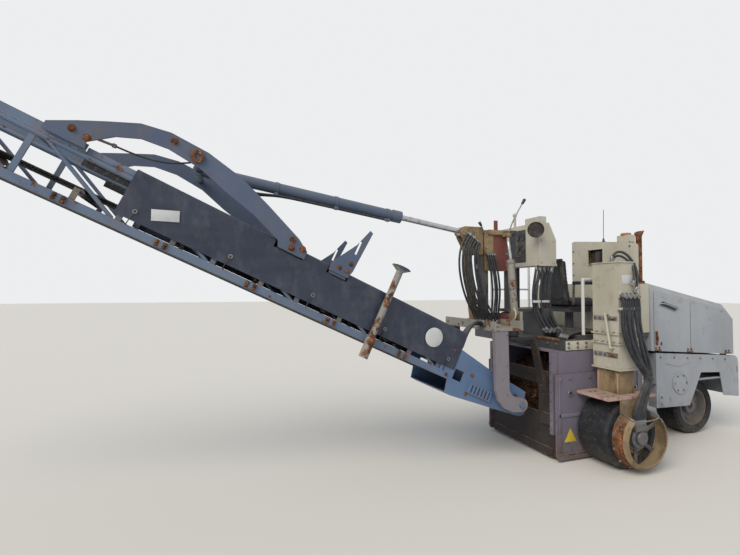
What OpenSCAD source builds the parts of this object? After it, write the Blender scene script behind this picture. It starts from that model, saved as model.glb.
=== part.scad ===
// Cold planer milling machine, rear loading, on solid tyred wheels.
// Lengths are in millimetres. X points to the machine's front, Y to its left, Z up.
// Sizes are given about the drum's middle on the ground. row() moves them to the row frame.

/* [Wheels] */
// Radius of the rear tyres
rear_radius = 310; // [280:5:340]
// Width of the rear tyres
rear_width = 335; // [250:5:350]
// Radius of the front tyres
front_radius = 300; // [270:5:320]
// Width of the front tyres
front_width = 250; // [200:5:260]
// Distance of the right rear wheel's axle from the drum axis
right_wheel_x = -50; // [-80:5:60]
// Distance of the left rear wheel's axle from the drum axis
left_wheel_x = 250; // [200:5:300]
// Distance of the front axle from the drum axis
front_axle_x = 1520; // [1400:10:1560]

/* [Milling drum] */
// Height of the drum axis as parked
drum_height = 520; // [500:5:560]
// Radius over the pick tips
cutting_radius = 430; // [380:5:440]
// Width over the outer picks
cutting_width = 980; // [900:10:980]
// Number of pick rows around the drum
pick_rows = 6; // [4:1:8]
// Number of picks in a row
picks_per_row = 9; // [7:1:11]

/* [Body] */
// Y of the right side of the body
right_side = -520; // [-540:5:-515]
// Y of the left side of the body
left_side = 1060; // [1000:10:1100]
// Height of the platform's underside
platform_height = 1140; // [1130:5:1180]
// Front face of the bumper
front_end = 2045; // [2000:5:2100]
// Rear edge of the hood
hood_rear = 670; // [660:5:700]
// Front face of the hood
hood_front = 1950; // [1900:5:1955]
// Height of the hood at its rear
hood_rear_top = 1700; // [1600:5:1750]
// Height of the hood at its front
hood_front_top = 1440; // [1350:5:1500]

/* [Conveyor] */
// Angle of the conveyor above level as parked
lift_angle = 25; // [18:1:32]
// Length from the tilt pin to the head drum's axis
belt_reach = 7150; // [5500:50:7200]
// Width of the belt
belt_width = 500; // [400:10:520]
// Outer width of the conveyor frame
frame_width = 720; // [640:10:730]
// X of the vertical slewing axis
slew_x = -690; // [-720:5:-680]
// X of the tilt pins
tilt_x = -900; // [-930:5:-880]
// Height of the tilt pins
tilt_height = 547; // [520:1:580]

/* [Fits] */
// Gap between moving pieces
clear_gap = 8; // [5:1:12]
// Radial gap at pins
pin_gap = 1; // [0.5:0.5:2]
// Gap at runners and guides
run_gap = 0.4; // [0.3:0.1:0.5]
// Gap between nodes of one body
touch_gap = 0.3; // [0.2:0.1:0.5]

/* [Hidden] */

// Derived sizes.
middle_y = (right_side + left_side) / 2;
wheel_right_y = -545 - rear_width / 2;
wheel_left_y = 600 + rear_width / 2;
front_track_offset = 190;
kingpin_right_y = middle_y - 320;
kingpin_left_y = middle_y + 320;
front_right_y = kingpin_right_y - front_track_offset;
front_left_y = kingpin_left_y + front_track_offset;
housing_half = 515;
housing_x = 530;
housing_top = 1030;
arch_pin = [3450, 667];
mast_pin = [-1265, 2210];
tail_u = -120;
hinge_x = 1928;
hinge_z = 905;
hinge_lug_y = [right_side + 60, left_side - 100];
belt_v = 25;
belt_thick = 10;
roller_radius = 66;
belt_inner = roller_radius + 5;
belt_outer = belt_inner + belt_thick;
side_in = frame_width / 2 - 8;
idler_v = belt_v + belt_inner - 26 - touch_gap;
head_u = belt_reach;
chord_v = 307;
bay = 700;
truss_start = 900;
truss_end = belt_reach + 100;
// Row frame: the middle of the whole box, on the ground.
head_tip_x = tilt_x - (head_u + 160) * cos(lift_angle) - 75 * sin(lift_angle);
right_tip_y = wheel_right_y - rear_width / 2 - 119.5;
left_tip_y = left_side + 2;
row_x = (front_end + head_tip_x) / 2;
row_y = (left_tip_y + right_tip_y) / 2;

module row() {
  translate([-row_x, -row_y, 0]) children();
}

// Moves pieces drawn along the conveyor (u toward the head, v square to the belt) to their place.
module along() {
  translate([tilt_x, 0, tilt_height]) rotate([0, lift_angle, 0]) mirror([1, 0, 0]) children();
}

// A box between two corners.
module slab(a, b) {
  translate(a) cube([b[0] - a[0], b[1] - a[1], b[2] - a[2]]);
}

// A plate in the XZ plane from y0 to y1.
module plate(y0, y1) {
  translate([0, y1, 0]) rotate([90, 0, 0]) linear_extrude(height = y1 - y0) children();
}

// A round bar across, along Y.
module bar_y(x, z, r, y0, y1, fine = 32) {
  translate([x, y0, z]) rotate([-90, 0, 0]) cylinder(r = r, h = y1 - y0, $fn = fine);
}

// A round bar along X.
module bar_x(x0, x1, y, z, r, fine = 24) {
  translate([x0, y, z]) rotate([0, 90, 0]) cylinder(r = r, h = x1 - x0, $fn = fine);
}

// A round bar between two points.
module bar(a, b, r, fine = 24) {
  d = b - a;
  len = norm(d);
  translate(a) rotate([0, acos(d[2] / len), atan2(d[1], d[0])]) cylinder(r = r, h = len, $fn = fine);
}

module tyre_ring(x, y, z, radius, width, bore) {
  shoulder = 22;
  translate([x, y, z]) rotate([90, 0, 0]) rotate_extrude($fn = 72)
    polygon([[bore, -width / 2 + 14], [bore + 22, -width / 2], [radius - shoulder, -width / 2],
      [radius, -width / 2 + shoulder], [radius, width / 2 - shoulder], [radius - shoulder, width / 2],
      [bore + 22, width / 2], [bore, width / 2 - 14]]);
}

// Rim with a disc and a hub that is open for the spindle.
module rim_ring(x, y, z, radius, width, disc_y, hub, bore) {
  translate([x, y, z]) rotate([90, 0, 0]) rotate_extrude($fn = 64)
    polygon([[radius - 14, -width / 2 + 14], [radius, -width / 2 + 14], [radius, width / 2 - 14],
      [radius - 14, width / 2 - 14], [radius - 14, disc_y + 12], [hub, disc_y + 12], [hub, disc_y + 60],
      [bore, disc_y + 60], [bore, disc_y - 60], [hub, disc_y - 60], [hub, disc_y - 12],
      [radius - 14, disc_y - 12]]);
}

module main_frame() color("#4a4d52") row() {
  difference() {
    union() {
      for (y = [kingpin_right_y + 110, kingpin_left_y - 190]) slab([560, y, 430], [1960, y + 80, 628]);
      slab([640, right_side + 15, 628], [1960, left_side - 15, 640]);
      slab([560, right_side + 20, 430], [600, left_side - 20, platform_height]);
      slab([-430, right_side + 20, housing_top], [560, right_side + 80, platform_height]);
      slab([-430, left_side - 60, housing_top], [560, left_side, platform_height]);
      slab([-430, right_side + 80, housing_top], [-370, left_side - 60, platform_height]);
      slab([300, right_side + 80, housing_top], [360, left_side - 160, platform_height]);
      slab([-400, -160, platform_height], [-370, 160, 1430]);
      slab([-372, -160, platform_height], [-270 - touch_gap, -145, 1430]);
      slab([-372, 145, platform_height], [-270 - touch_gap, 160, 1430]);
      for (z = [1112, 1400]) {
        slab([slew_x, -110, z], [-400, 110, z + 28]);
        translate([slew_x, 0, z]) cylinder(r = 110, h = 28, $fn = 48);
      }
      slab([1940, -80, 430], [1960, 640, 628]);
      // Lugs behind the hood's hinge bars.
      for (y = hinge_lug_y) slab([1870, y, 628], [hinge_x - 4, y + 40, hinge_z + 20]);
    }
    bar_y(hinge_x, hinge_z, 16 + pin_gap, right_side, left_side);
    for (z = [1100, 1390]) translate([slew_x, 0, z]) cylinder(r = 57 + pin_gap, h = 60, $fn = 48);
    slab([left_wheel_x - 125, wheel_left_y - 155, housing_top - 20], [left_wheel_x + 125, wheel_left_y + 155, 1200]);
    translate([700, middle_y, 600]) cylinder(r = 90, h = 60, $fn = 32);
  }
}

module drum_housing() color("#6d6878") row() {
  difference() {
    union() {
      slab([-housing_x, -housing_half, 250], [housing_x, housing_half, housing_top - touch_gap]);
      slab([housing_x - 15, -500, 60], [housing_x, 500, 260]);
    }
    slab([-housing_x - 1, -housing_half + 15, 200], [housing_x - 15, housing_half - 15, housing_top - 15]);
    for (y = [-housing_half - 1, housing_half - 20]) bar_y(0, drum_height, 120, y, y + 21, 48);
  }
  // Guides for the scraper at the rear corners.
  for (s = [-1, 1]) {
    slab([-590, s > 0 ? 485 : -500, 250], [-529, s > 0 ? 500 : -485, housing_top - touch_gap]);
    slab([-590, s > 0 ? 455 : -500, 250], [-580, s > 0 ? 500 : -455, housing_top - touch_gap]);
  }
  for (s = [-1, 1]) difference() {
    bar_y(0, drum_height, 150, s > 0 ? 495 : -510, s > 0 ? 510 : -495, 48);
    bar_y(0, drum_height, 70 + pin_gap, -510, 510, 48);
  }
}

module drum_body() color("#5b4636") row() {
  difference() {
    bar_y(0, drum_height, cutting_radius - 95, -cutting_width / 2 + 10, cutting_width / 2 - 10, 64);
    bar_y(0, drum_height, 240, -cutting_width / 2 + 9, -cutting_width / 2 + 130, 48);
    bar_y(0, drum_height, 240, cutting_width / 2 - 130, cutting_width / 2 - 9, 48);
  }
  bar_y(0, drum_height, 70, -512, -cutting_width / 2 + 130, 48);
  bar_y(0, drum_height, 70, cutting_width / 2 - 130, 512, 48);
}

// Pick holders and picks wound on the drum as two helices that meet in the middle.
module picks() color("#6f6a62") row() {
  for (r = [0 : pick_rows - 1]) for (k = [0 : picks_per_row - 1]) {
    pitch = (cutting_width - 90) / (picks_per_row - 1);
    y = -cutting_width / 2 + 45 + k * pitch;
    turn = r * 360 / pick_rows + abs(k - (picks_per_row - 1) / 2) * 14;
    translate([0, y, drum_height]) rotate([0, turn, 0]) translate([cutting_radius - 95 + touch_gap, 0, 0]) {
      translate([0, -24, -38]) cube([42, 48, 76]);
      translate([22, 0, 18]) rotate([0, 62, 0]) cylinder(r1 = 19, r2 = 8, h = 62, $fn = 16);
    }
  }
}

module scraper() color("#4c4640") row() {
  difference() {
    union() {
      slab([-560, -479, 30], [-546, 479, 830]);
      slab([-572, -450, 30], [-559, 450, 110]);
      slab([-566, -450, 780], [-559, 450, 830]);
      // Shoes that run in the housing's guides.
      for (z = [300, 760]) for (s = [-1, 1]) slab([-580 + run_gap, s > 0 ? 464 : -485 + run_gap, z], [-546, s > 0 ? 485 - run_gap : -464, z + 60]);
    }
    slab([-600, -270, 420], [-500, 270, 700]);
  }
  // Lift arm on the rear face and the foot at its lower end.
  translate([-578, -430, 380]) rotate([-17, 0, 0]) difference() {
    slab([0, -45, 0], [19, 45, 770]);
    for (z = [250, 330, 640, 715]) translate([-1, 0, z]) rotate([0, 90, 0]) cylinder(r = 13, h = 30, $fn = 24);
  }
  slab([-595, -448, 335], [-559, -345, 440]);
}

module side_plate(side) {
  y0 = side > 0 ? 522 : -537;
  difference() {
    plate(y0, y0 + 15) polygon([[-585, 60], [-565, 22], [450, 22], [490, 70], [490, 820], [-585, 820]]);
    bar_y(0, drum_height + 0, 130, -540, 540, 48);
    for (x = [-420, 400]) bar_y(x, 640, 14, -540, 540, 24);
  }
  // Runner pads on the inner face.
  for (x = [-380, 360]) slab([x - 40, side > 0 ? housing_half + run_gap : -523, 420], [x + 40, side > 0 ? 523 : -housing_half - run_gap, 560]);
  plate(y0 - 8 * (side < 0 ? 1 : 0), y0 + 15 + 8 * (side > 0 ? 1 : 0)) polygon([[-585, 60], [-565, 22], [450, 22], [490, 70], [490, 85], [-585, 85]]);
}

module side_plate_right() color("#6d6878") row() side_plate(-1);
module side_plate_left() color("#6d6878") row() side_plate(1);

// Lower side panels with the low arch before the front wheel.
module side_panel(y0, y1, lip) {
  difference() {
    union() {
      plate(y0, y1) polygon([[735, 393], [1225, 380], [1324, 558], [1408, 722], [1714, 707], [1772, 447],
        [2020, 417], [2024, 800], [2010, 850], [1975, 878], [740, 963], [735, 955]]);
      plate(min(y0, lip), max(y1, lip)) polygon([[735, 393], [743, 393], [743, 957], [735, 955]]);
    }
    bar_y(1070, 622, 95, y0 - 1, y1 + 1, 48);
    slab([1995, y0 - 1, 560], [2003, y1 + 1, 640]);
    // Notch in the folded edge for the frame's floor plate.
    slab([730, min(y0 + 9, lip - 1), 628 - touch_gap], [750, max(y1 - 9, lip + 1), 640 + touch_gap]);
  }
}

module side_panels() color("#d8d6cf") row() {
  side_panel(right_side, right_side + 8, right_side + 95);
  side_panel(left_side - 8, left_side, left_side - 95);
  // Round covers over the panel holes.
  bar_y(1080, 630, 112, right_side - 9, right_side - touch_gap, 48);
  bar_y(1080, 630, 112, left_side + touch_gap - 2.5, left_side + 2, 48);
  for (y = [right_side + 8, left_side - 48]) slab([760, y, 640 + touch_gap], [1960, y + 40, 652]);
}

module engine() color("#3c3f41") row() {
  slab([880, middle_y - 340, 640 + touch_gap], [1760, middle_y + 340, 1300]);
  slab([1810, middle_y - 300, 640 + touch_gap], [1890, middle_y + 300, 1300]);
}

module bumper() color("#c9c6bd") row() {
  difference() {
    slab([1960 + touch_gap, right_side + 30, 430], [front_end, left_side - 30, 640]);
    for (y = [right_side + 220, left_side - 220]) {
      slab([1990, y - 30, 480], [front_end + 1, y + 30, 560]);
      translate([front_end - 28, y, 420]) cylinder(r = 16, h = 240, $fn = 32);
    }
  }
}

// The hood's side outline, moved in by a wall.
module hood_outline(wall) {
  polygon([[hood_rear + wall, 990 - (wall > 0 ? 80 : 0)], [hood_rear + wall, hood_rear_top - wall],
    [hood_front - 90 - wall, hood_front_top + 18 - wall], [hood_front - wall, hood_front_top - 70],
    [hood_front - wall, 896 - (wall > 0 ? 80 : 0)]]);
}

module hood() color("#dedbd3") row() {
  bevel = 46;
  difference() {
    intersection() {
      plate(right_side, left_side) hood_outline(0);
      // Long bevels of the top edges follow the sloping top.
      translate([0, 0, 0]) rotate([90, 0, 90]) translate([0, 0, hood_rear - 10]) linear_extrude(height = 1400)
        polygon([[right_side, 800], [left_side, 800], [left_side, 1800], [right_side, 1800]]);
    }
    plate(right_side + 7, left_side - 7) hood_outline(7);
    for (side = [0, 1]) translate([hood_rear - 20, side > 0 ? left_side : right_side, hood_rear_top])
      rotate([0, atan2(hood_rear_top - hood_front_top - 18, hood_front - 90 - hood_rear), 0])
        translate([0, 0, -bevel]) rotate([side > 0 ? 45 : -45, 0, 0]) translate([-50, -100, 0]) cube([1500, 200, 100]);
    for (i = [0 : 8]) slab([hood_front - 20, middle_y - 360, 960 + i * 46], [hood_front + 10, middle_y + 360, 982 + i * 46]);
    for (x = [820, 1235]) slab([x, right_side - 5, 1045 - (x - 820) * 0.06], [x + 140, right_side + 20, 1053 - (x - 820) * 0.06]);
  }
  for (y = hinge_lug_y) bar_y(hinge_x, hinge_z, 16, y - 10, y + 50);
}

module rear_cowl() color("#d3d0c7") row() {
  difference() {
    rotate([90, 0, 90]) translate([0, 0, 440]) linear_extrude(height = 98)
      polygon([[-500, platform_height + 40 + touch_gap], [300, platform_height + 40 + touch_gap], [300, 2190], [260, 2200], [-460, 2122], [-500, 2090]]);
    rotate([90, 0, 90]) translate([0, 0, 446]) linear_extrude(height = 86)
      polygon([[-494, 1187], [294, 1187], [294, 2184], [260, 2193], [-458, 2116], [-494, 2084]]);
    slab([400, -150, 1905], [600, 60, 2080]);
  }
  slab([450, -470, 2124], [530, -320, 2200]);
}

module bulkhead() color("#d8d6cf") row() {
  difference() {
    slab([545, right_side + 10, platform_height + 40 + touch_gap], [hood_rear - 8, left_side - 10, hood_rear_top - 12]);
    slab([553, right_side + 18, 1189], [hood_rear + 10, left_side - 18, hood_rear_top - 20]);
  }
}

module exhaust() color("#6b4a38") row() {
  base = [606, -450, hood_rear_top - 12 + touch_gap];
  translate(base) cylinder(r = 48, h = 30, $fn = 32);
  difference() {
    union() {
      translate(base) cylinder(r = 29, h = 520, $fn = 32);
      translate(base + [0, 0, 500]) cylinder(r1 = 30, r2 = 52, h = 60, $fn = 32);
    }
    translate(base + [0, 0, 31]) cylinder(r = 25, h = 600, $fn = 32);
    translate(base + [0, 0, 520]) rotate([0, -24, 0]) translate([-100, -100, 24]) cube([200, 200, 100]);
  }
}

module platform() color("#55585c") row() {
  difference() {
    union() {
      slab([-270, right_side + 20, platform_height + touch_gap], [439, left_side, platform_height + 40]);
      slab([439, right_side + 20, platform_height + touch_gap], [660, left_side - 10, platform_height + 40]);
    }
    slab([left_wheel_x - 125, wheel_left_y - 155, 1100], [left_wheel_x + 125, wheel_left_y + 155, 1200]);
  }
  // Ladder on the left side.
  for (z = [430, 685, 940]) slab([600 + touch_gap, left_side - 30, z], [735, left_side, z + 30]);
  slab([600 + touch_gap, left_side - 12, 430], [612, left_side, platform_height + 20]);
  slab([723, left_side - 12, 430], [735, left_side, 970]);
}

module handrails() color("#e9e9e4") row() {
  r = 16;
  floor_z = platform_height + 40 + touch_gap;
  for (p = [[-195, -485], [60, -485]]) translate([p[0], p[1], floor_z]) cylinder(r = r, h = 545, $fn = 20);
  bar([-195, -485, floor_z + 545], [60, -485, floor_z + 545], r, 20);
  for (x = [-195, 60]) translate([x, -485, floor_z + 545]) sphere(r = r, $fn = 20);
  for (x = [-195, 100, 400]) translate([x, left_side - 30, floor_z]) cylinder(r = r, h = 900, $fn = 20);
  bar([-195, left_side - 30, floor_z + 900], [400, left_side - 30, floor_z + 900], r, 20);
  for (x = [-195, 400]) translate([x, left_side - 30, floor_z + 900]) sphere(r = r, $fn = 20);
  bar([-195, left_side - 30, floor_z + 450], [400, left_side - 30, floor_z + 450], 12, 20);
}

module seat_base() color("#2b2d30") row() {
  translate([180, 90, platform_height + 40 + touch_gap]) cylinder(r = 140, h = 14, $fn = 40);
  translate([180, 90, platform_height + 54]) cylinder(r = 45, h = 190, $fn = 32);
  slab([30, -60, 1380], [350, 240, 1425]);
}

module seat() color("#1f2022") row() {
  slab([30, -115, 1425 + touch_gap], [425, 295, 1530]);
  translate([66, 0, 1452]) rotate([0, -8, 0]) slab([-85, -112, 0], [0, 292, 528]);
  for (y = [-165, 298]) slab([10, y, 1680], [320, y + 47, 1720]);
  for (y = [-165, 298]) slab([10, y, 1440], [50, y + 47, 1720]);
  for (y = [-165, 250]) slab([10, y, 1440], [60, y + 95, 1480]);
}

module console() color("#dad7cc") row() {
  floor_z = platform_height + 40 + touch_gap;
  for (y = [-60, 430]) slab([-262, y, floor_z], [-222, y + 40, 1900]);
  difference() {
    rotate([90, 0, 0]) translate([0, 0, -510]) linear_extrude(height = 660)
      polygon([[-430, 1880], [-210, 1880], [-210, 2150], [-300, 2330], [-430, 2330]]);
    slab([-440, 60, 1920], [-424, 440, 2280]);
  }
  translate([-360, 330, 2320]) cylinder(r = 14, h = 160, $fn = 20);
  translate([-360, 330, 2480]) sphere(r = 24, $fn = 24);
  slab([-395, -120, 2320], [-310, 110, 2400]);
}

// Outside and hollow of a telescoping leg's fixed box.
module leg_box_outside(x, y, z0, z1) {
  slab([x - 110, y - 145, z0], [x + 110, y + 145, z1]);
  slab([x - 122, y - 157, z0], [x + 122, y + 157, z0 + 16]);
}

module leg_box_hollow(x, y, z0, z1) {
  slab([x - 98, y - 133, z0 - 1], [x + 98, y + 133, z1 - 12]);
}

module leg_boxes() color("#dcdad2") row() {
  box_x = right_wheel_x + 10;
  difference() {
    union() {
      leg_box_outside(box_x, -705, 885, 1880);
      // Flanges of the bolted joint, and the clamp that carries the box on the frame.
      for (z = [1120, 1210]) slab([box_x - 125, -862, z], [box_x + 125, -548, z + 14]);
      slab([box_x - 60, -570, 1035], [box_x + 60, right_side + 20 - touch_gap, 1137]);
      slab([box_x - 60, -570, 1136], [box_x + 60, -530, 1660]);
    }
    leg_box_hollow(box_x, -705, 885, 1880);
  }
  difference() {
    union() {
      leg_box_outside(left_wheel_x, wheel_left_y, 865, 1400);
      slab([left_wheel_x - 90, wheel_left_y + 140, 1035], [left_wheel_x + 90, left_side - 60 - touch_gap, 1110]);
    }
    leg_box_hollow(left_wheel_x, wheel_left_y, 865, 1400);
  }
  // Grab handle on the rear face.
  hx = box_x - 150;
  bar([hx, -735, 1400], [hx, -790, 1090], 12, 20);
  for (p = [[-735, 1400], [-790, 1090]]) {
    translate([hx, p[0], p[1]]) sphere(r = 12, $fn = 20);
    bar_x(hx, box_x - 105, p[0], p[1], 12, 20);
  }
}

// Inner column, plate over the tyre, and the side plate that carries the motor.
module leg(x, y, column_y, side, top) {
  slab([x - 90 + (side < 0 ? 10 : 0), column_y - 125, 669], [x + 90 + (side < 0 ? 10 : 0), column_y + 125, top]);
  // Wear pads that run in the leg box.
  mid_x = x + (side < 0 ? 10 : 0);
  slab([mid_x - 98 + run_gap, column_y - 133 + run_gap, top - 80], [mid_x + 98 - run_gap, column_y + 133 - run_gap, top - 20]);
  slab([x - 300, y - rear_width / 2 - 22, 652], [x + 270, y + rear_width / 2, 669]);
  mirror_y = y + side * (rear_width / 2 + 9);
  y0 = min(mirror_y, mirror_y + side * 16);
  slab([x - 150, y0, 310], [x + 150, y0 + 16, 660]);
  bar_y(x, rear_radius, 150, y0, y0 + 16, 48);
  bar_y(x, rear_radius, 45, min(y0, y), max(y0 + 16, y), 40);
}

module leg_right() color("#b59c93") row() {
  leg(right_wheel_x, wheel_right_y, -705, -1, 1480);
}

module leg_left() color("#b59c93") row() {
  translate([0, 0, 0]) difference() {
    leg(left_wheel_x, wheel_left_y, wheel_left_y, 1, 1150);
  }
  slab([left_wheel_x - 150, wheel_left_y + rear_width / 2, 652], [left_wheel_x + 150, wheel_left_y + rear_width / 2 + 25, 669]);
  bar_y(left_wheel_x, rear_radius, 92, wheel_left_y + rear_width / 2 + 24, left_side, 40);
}

// Hydraulic wheel motor inside its open ring guard.
module motor_right() color("#a9a9a6") row() {
  y1 = wheel_right_y - rear_width / 2 - 25.5;
  bar_y(right_wheel_x, rear_radius, 95, y1 - 70, y1, 40);
  bar_y(right_wheel_x, rear_radius, 62, y1 - 94, y1 - 69, 32);
  difference() {
    bar_y(right_wheel_x, rear_radius, 270, y1 - 90, y1, 64);
    bar_y(right_wheel_x, rear_radius, 258, y1 - 91, y1 + 1, 64);
    slab([right_wheel_x + 120, y1 - 95, 180], [right_wheel_x + 300, y1 + 5, 700]);
  }
  for (a = [110, 200, 250]) translate([right_wheel_x, 0, rear_radius]) rotate([0, a, 0])
    slab([148, y1 - 10, -20], [262, y1, 20]);
}

module tyre_rear_right() color("#17181a") row() tyre_ring(right_wheel_x, wheel_right_y, rear_radius, rear_radius, rear_width, 215);
module rim_rear_right() color("#8f8f8b") row() rim_ring(right_wheel_x, wheel_right_y, rear_radius, 214.5, rear_width, 30, 88, 45 + pin_gap);
module tyre_rear_left() color("#17181a") row() tyre_ring(left_wheel_x, wheel_left_y, rear_radius, rear_radius, rear_width, 215);
module rim_rear_left() color("#8f8f8b") row() rim_ring(left_wheel_x, wheel_left_y, rear_radius, 214.5, rear_width, -30, 88, 45 + pin_gap);
module tyre_front_right() color("#17181a") row() tyre_ring(front_axle_x, front_right_y, front_radius, front_radius, front_width, 205);
module rim_front_right() color("#8f8f8b") row() rim_ring(front_axle_x, front_right_y, front_radius, 204.5, front_width, 20, 80, 35 + pin_gap);
module tyre_front_left() color("#17181a") row() tyre_ring(front_axle_x, front_left_y, front_radius, front_radius, front_width, 205);
module rim_front_left() color("#8f8f8b") row() rim_ring(front_axle_x, front_left_y, front_radius, 204.5, front_width, -20, 80, 35 + pin_gap);

module front_axle() color("#4a4d52") row() {
  difference() {
    union() {
      slab([front_axle_x - 60, kingpin_right_y, 240], [front_axle_x + 60, kingpin_left_y, 360]);
      for (y = [kingpin_right_y, kingpin_left_y]) translate([front_axle_x, y, 225]) cylinder(r = 60, h = 150, $fn = 40);
      slab([front_axle_x - 90, middle_y - 150, 360], [front_axle_x + 90, middle_y + 150, 430 - touch_gap]);
    }
    for (y = [kingpin_right_y, kingpin_left_y]) translate([front_axle_x, y, 200]) cylinder(r = 24 + pin_gap, h = 250, $fn = 40);
  }
}

// Steering knuckle: kingpin, two ears, an upright and the wheel spindle.
module knuckle(y, side) {
  translate([front_axle_x, y, 195]) cylinder(r = 24, h = 210, $fn = 32);
  for (z = [195, 381]) {
    translate([front_axle_x, y, z]) cylinder(r = 50, h = 24, $fn = 32);
    slab([front_axle_x - 50, min(y, y + side * 90), z], [front_axle_x + 50, max(y, y + side * 90), z + 24]);
  }
  slab([front_axle_x - 50, min(y + side * 68, y + side * 90), 195], [front_axle_x + 50, max(y + side * 68, y + side * 90), 405]);
  bar_y(front_axle_x, front_radius, 35, min(y + side * 80, y + side * 215), max(y + side * 80, y + side * 215), 32);
}

module knuckle_right() color("#5a5d60") row() knuckle(kingpin_right_y, -1);
module knuckle_left() color("#5a5d60") row() knuckle(kingpin_left_y, 1);

// Slewing frame: kingpin tube, hub, cross plate and red webs.
module slew_frame() color("#7c3b32") row() {
  translate([slew_x, 0, 1085]) cylinder(r = 57, h = 1150, $fn = 48);
  translate([slew_x, 0, 1150]) cylinder(r = 85, h = 240, $fn = 48);
  translate([slew_x, 0, 2200]) cylinder(r = 75, h = 40, $fn = 48);
  for (y = [-75, 55]) plate(y, y + 20) polygon([[slew_x - 30, 1230], [slew_x - 30, 1380], [-1000, 1380], [-1000, 1230]]);
  for (y = [-60, 40]) plate(y, y + 20) polygon([[slew_x - 45, 1820], [slew_x - 45, 2200], [-1040, 2230], [-1040, 1980], [-900, 1820]]);
  slab([-1200, -450, 1242], [-880, 450, 1272]);
  slab([-1200, -450, 1272], [-1180, 450, 1330]);
  slab([-900, -450, 1272], [-880, -100, 1330]);
  slab([-900, 100, 1272], [-880, 450, 1330]);
}

// Hanging arms that hold the tilt pins at both sides of the conveyor.
module j_arm(y0, y1) {
  difference() {
    union() {
      plate(y0, y1) polygon([[-1195, 1241.5], [-1045, 1241.5], [-1035, 700], [-1010, 650], [-960, 622], [-900, 612],
        [-900, 482], [-1000, 490], [-1090, 530], [-1150, 600], [-1180, 700]]);
      bar_y(tilt_x, tilt_height, 65, y0, y1, 40);
    }
    bar_y(tilt_x, tilt_height, 26 + pin_gap, y0 - 1, y1 + 1, 32);
  }
}

module j_arms() color("#cfc9bd") row() {
  j_arm(-445, -405);
  j_arm(405, 445);
}

module mast() color("#b7a98f") row() {
  bar([-1130, 0, 1330], [-1214, 0, 2070], 44, 32);
  slab([-1060, -39.7, 1272 + touch_gap], [-980, 39.7, 2120]);
  slab([-1180 + touch_gap, -45, 1272 + touch_gap], [-1059, 45, 1335]);
  for (y = [-58, 38]) difference() {
    plate(y, y + 20) polygon([[-1050, 1980], [-1050, 2260], [-1265, 2260], [-1310, 2210], [-1290, 2150], [-1200, 1980]]);
    bar_y(mast_pin[0], mast_pin[1], 20.3, y - 1, y + 21, 32);
  }
  // Pin ends only: the rod's eye hides the pin between the cheeks.
  for (y = [-72, 38]) bar_y(mast_pin[0], mast_pin[1], 20, y, y + 34, 32);
}

// Plan of the tail section, moved in by a wall. It narrows at the end, so that it clears the scraper as it slews.
module tail_plan(wall) {
  narrow = belt_width / 2 + 20 - wall;
  wide = side_in + 8 - wall;
  translate([0, 0, -300]) linear_extrude(height = 700) polygon([[-300, -narrow], [-140, -narrow], [-62, -wide], [1000, -wide],
    [1000, wide], [-62, wide], [-140, narrow], [-300, narrow]]);
}

module tail_section() color("#5f86b8") row() along() {
  difference() {
    intersection() {
      plate(-side_in - 8, side_in + 8) polygon([[-206, -20], [-203, -70], [-165, -97], [700, -186], [765, -180],
        [790, -63], [899.7, -63], [899.7, 251], [868, 251], [374, 174], [0, 140], [-138, 122], [-149, 100], [-168, 60]]);
      tail_plan(0);
    }
    tail_plan(8);
    for (s = [-1, 1]) slab([650, s > 0 ? side_in - 1 : -side_in - 9, -40], [745, s > 0 ? side_in + 9 : -side_in + 1, 55]);
    bar_y(tail_u, belt_v, 22, -side_in - 20, side_in + 20);
  }
  intersection() {
    plate(-side_in, side_in) polygon([[-160, -97], [700, -186], [765, -180], [765, -172], [700, -178], [-160, -89]]);
    tail_plan(7);
  }
  for (s = [-1, 1]) bar_y(0, 0, 26, s > 0 ? side_in + 8 : -side_in - 108, s > 0 ? side_in + 108 : -side_in - 8, 32);
  for (s = [-1, 1]) bar_y(0, 0, 60, s > 0 ? side_in + 8 : -side_in - 30, s > 0 ? side_in + 30 : -side_in - 8, 32);
  // Louvred boxes on both sides.
  for (y = [-side_in - 26, side_in + 8]) difference() {
    slab([300, y, -100], [560, y + 18, -5]);
    for (i = [0 : 5]) slab([318 + i * 39, y - 1, -88], [336 + i * 39, y + 19, -17]);
  }
}

module truss_side(s) {
  y_in = s > 0 ? side_in - 42 : -side_in - 8;
  y_mid = s * (side_in - 13);
  difference() {
    slab([truss_start, y_in, -63], [truss_end, y_in + 50, -3]);
    slab([truss_start - 1, s > 0 ? y_in - 1 : y_in + 6, -57], [truss_end + 1, s > 0 ? y_in + 44 : y_in + 51, -9]);
  }
  bar([truss_start, y_mid, chord_v], [truss_end, y_mid, chord_v], 21, 24);
  for (u = [truss_start : bay : truss_end]) slab([u, y_mid - 6, -4], [u + 40, y_mid + 6, chord_v]);
  for (u = [truss_start + 60 : bay : truss_end - bay + 60]) bar([u, y_mid, -6], [u + 590, y_mid, chord_v], 15, 20);
  slab([4100, s > 0 ? y_mid + 12 : y_mid - 18, 327], [truss_end, s > 0 ? y_mid + 18 : y_mid - 12, 390]);
  for (u = [4200 : bay : truss_end]) slab([u, s > 0 ? y_mid - 5 : y_mid - 18, 310], [u + 30, s > 0 ? y_mid + 18 : y_mid + 5, 335]);
  // Head plates.
  plate(s > 0 ? side_in : -side_in - 8, s > 0 ? side_in + 8 : -side_in) difference() {
    polygon([[truss_end - 350, -62], [truss_end - 350, 320], [truss_end - 100, 320], [head_u + 200, 180],
      [head_u + 220, 60], [head_u + 160, -75], [head_u - 100, -95]]);
    translate([head_u, belt_v]) circle(r = 22, $fn = 32);
  }
}

module truss_right() color("#8093a8") row() along() truss_side(-1);
module truss_left() color("#8093a8") row() along() truss_side(1);

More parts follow.
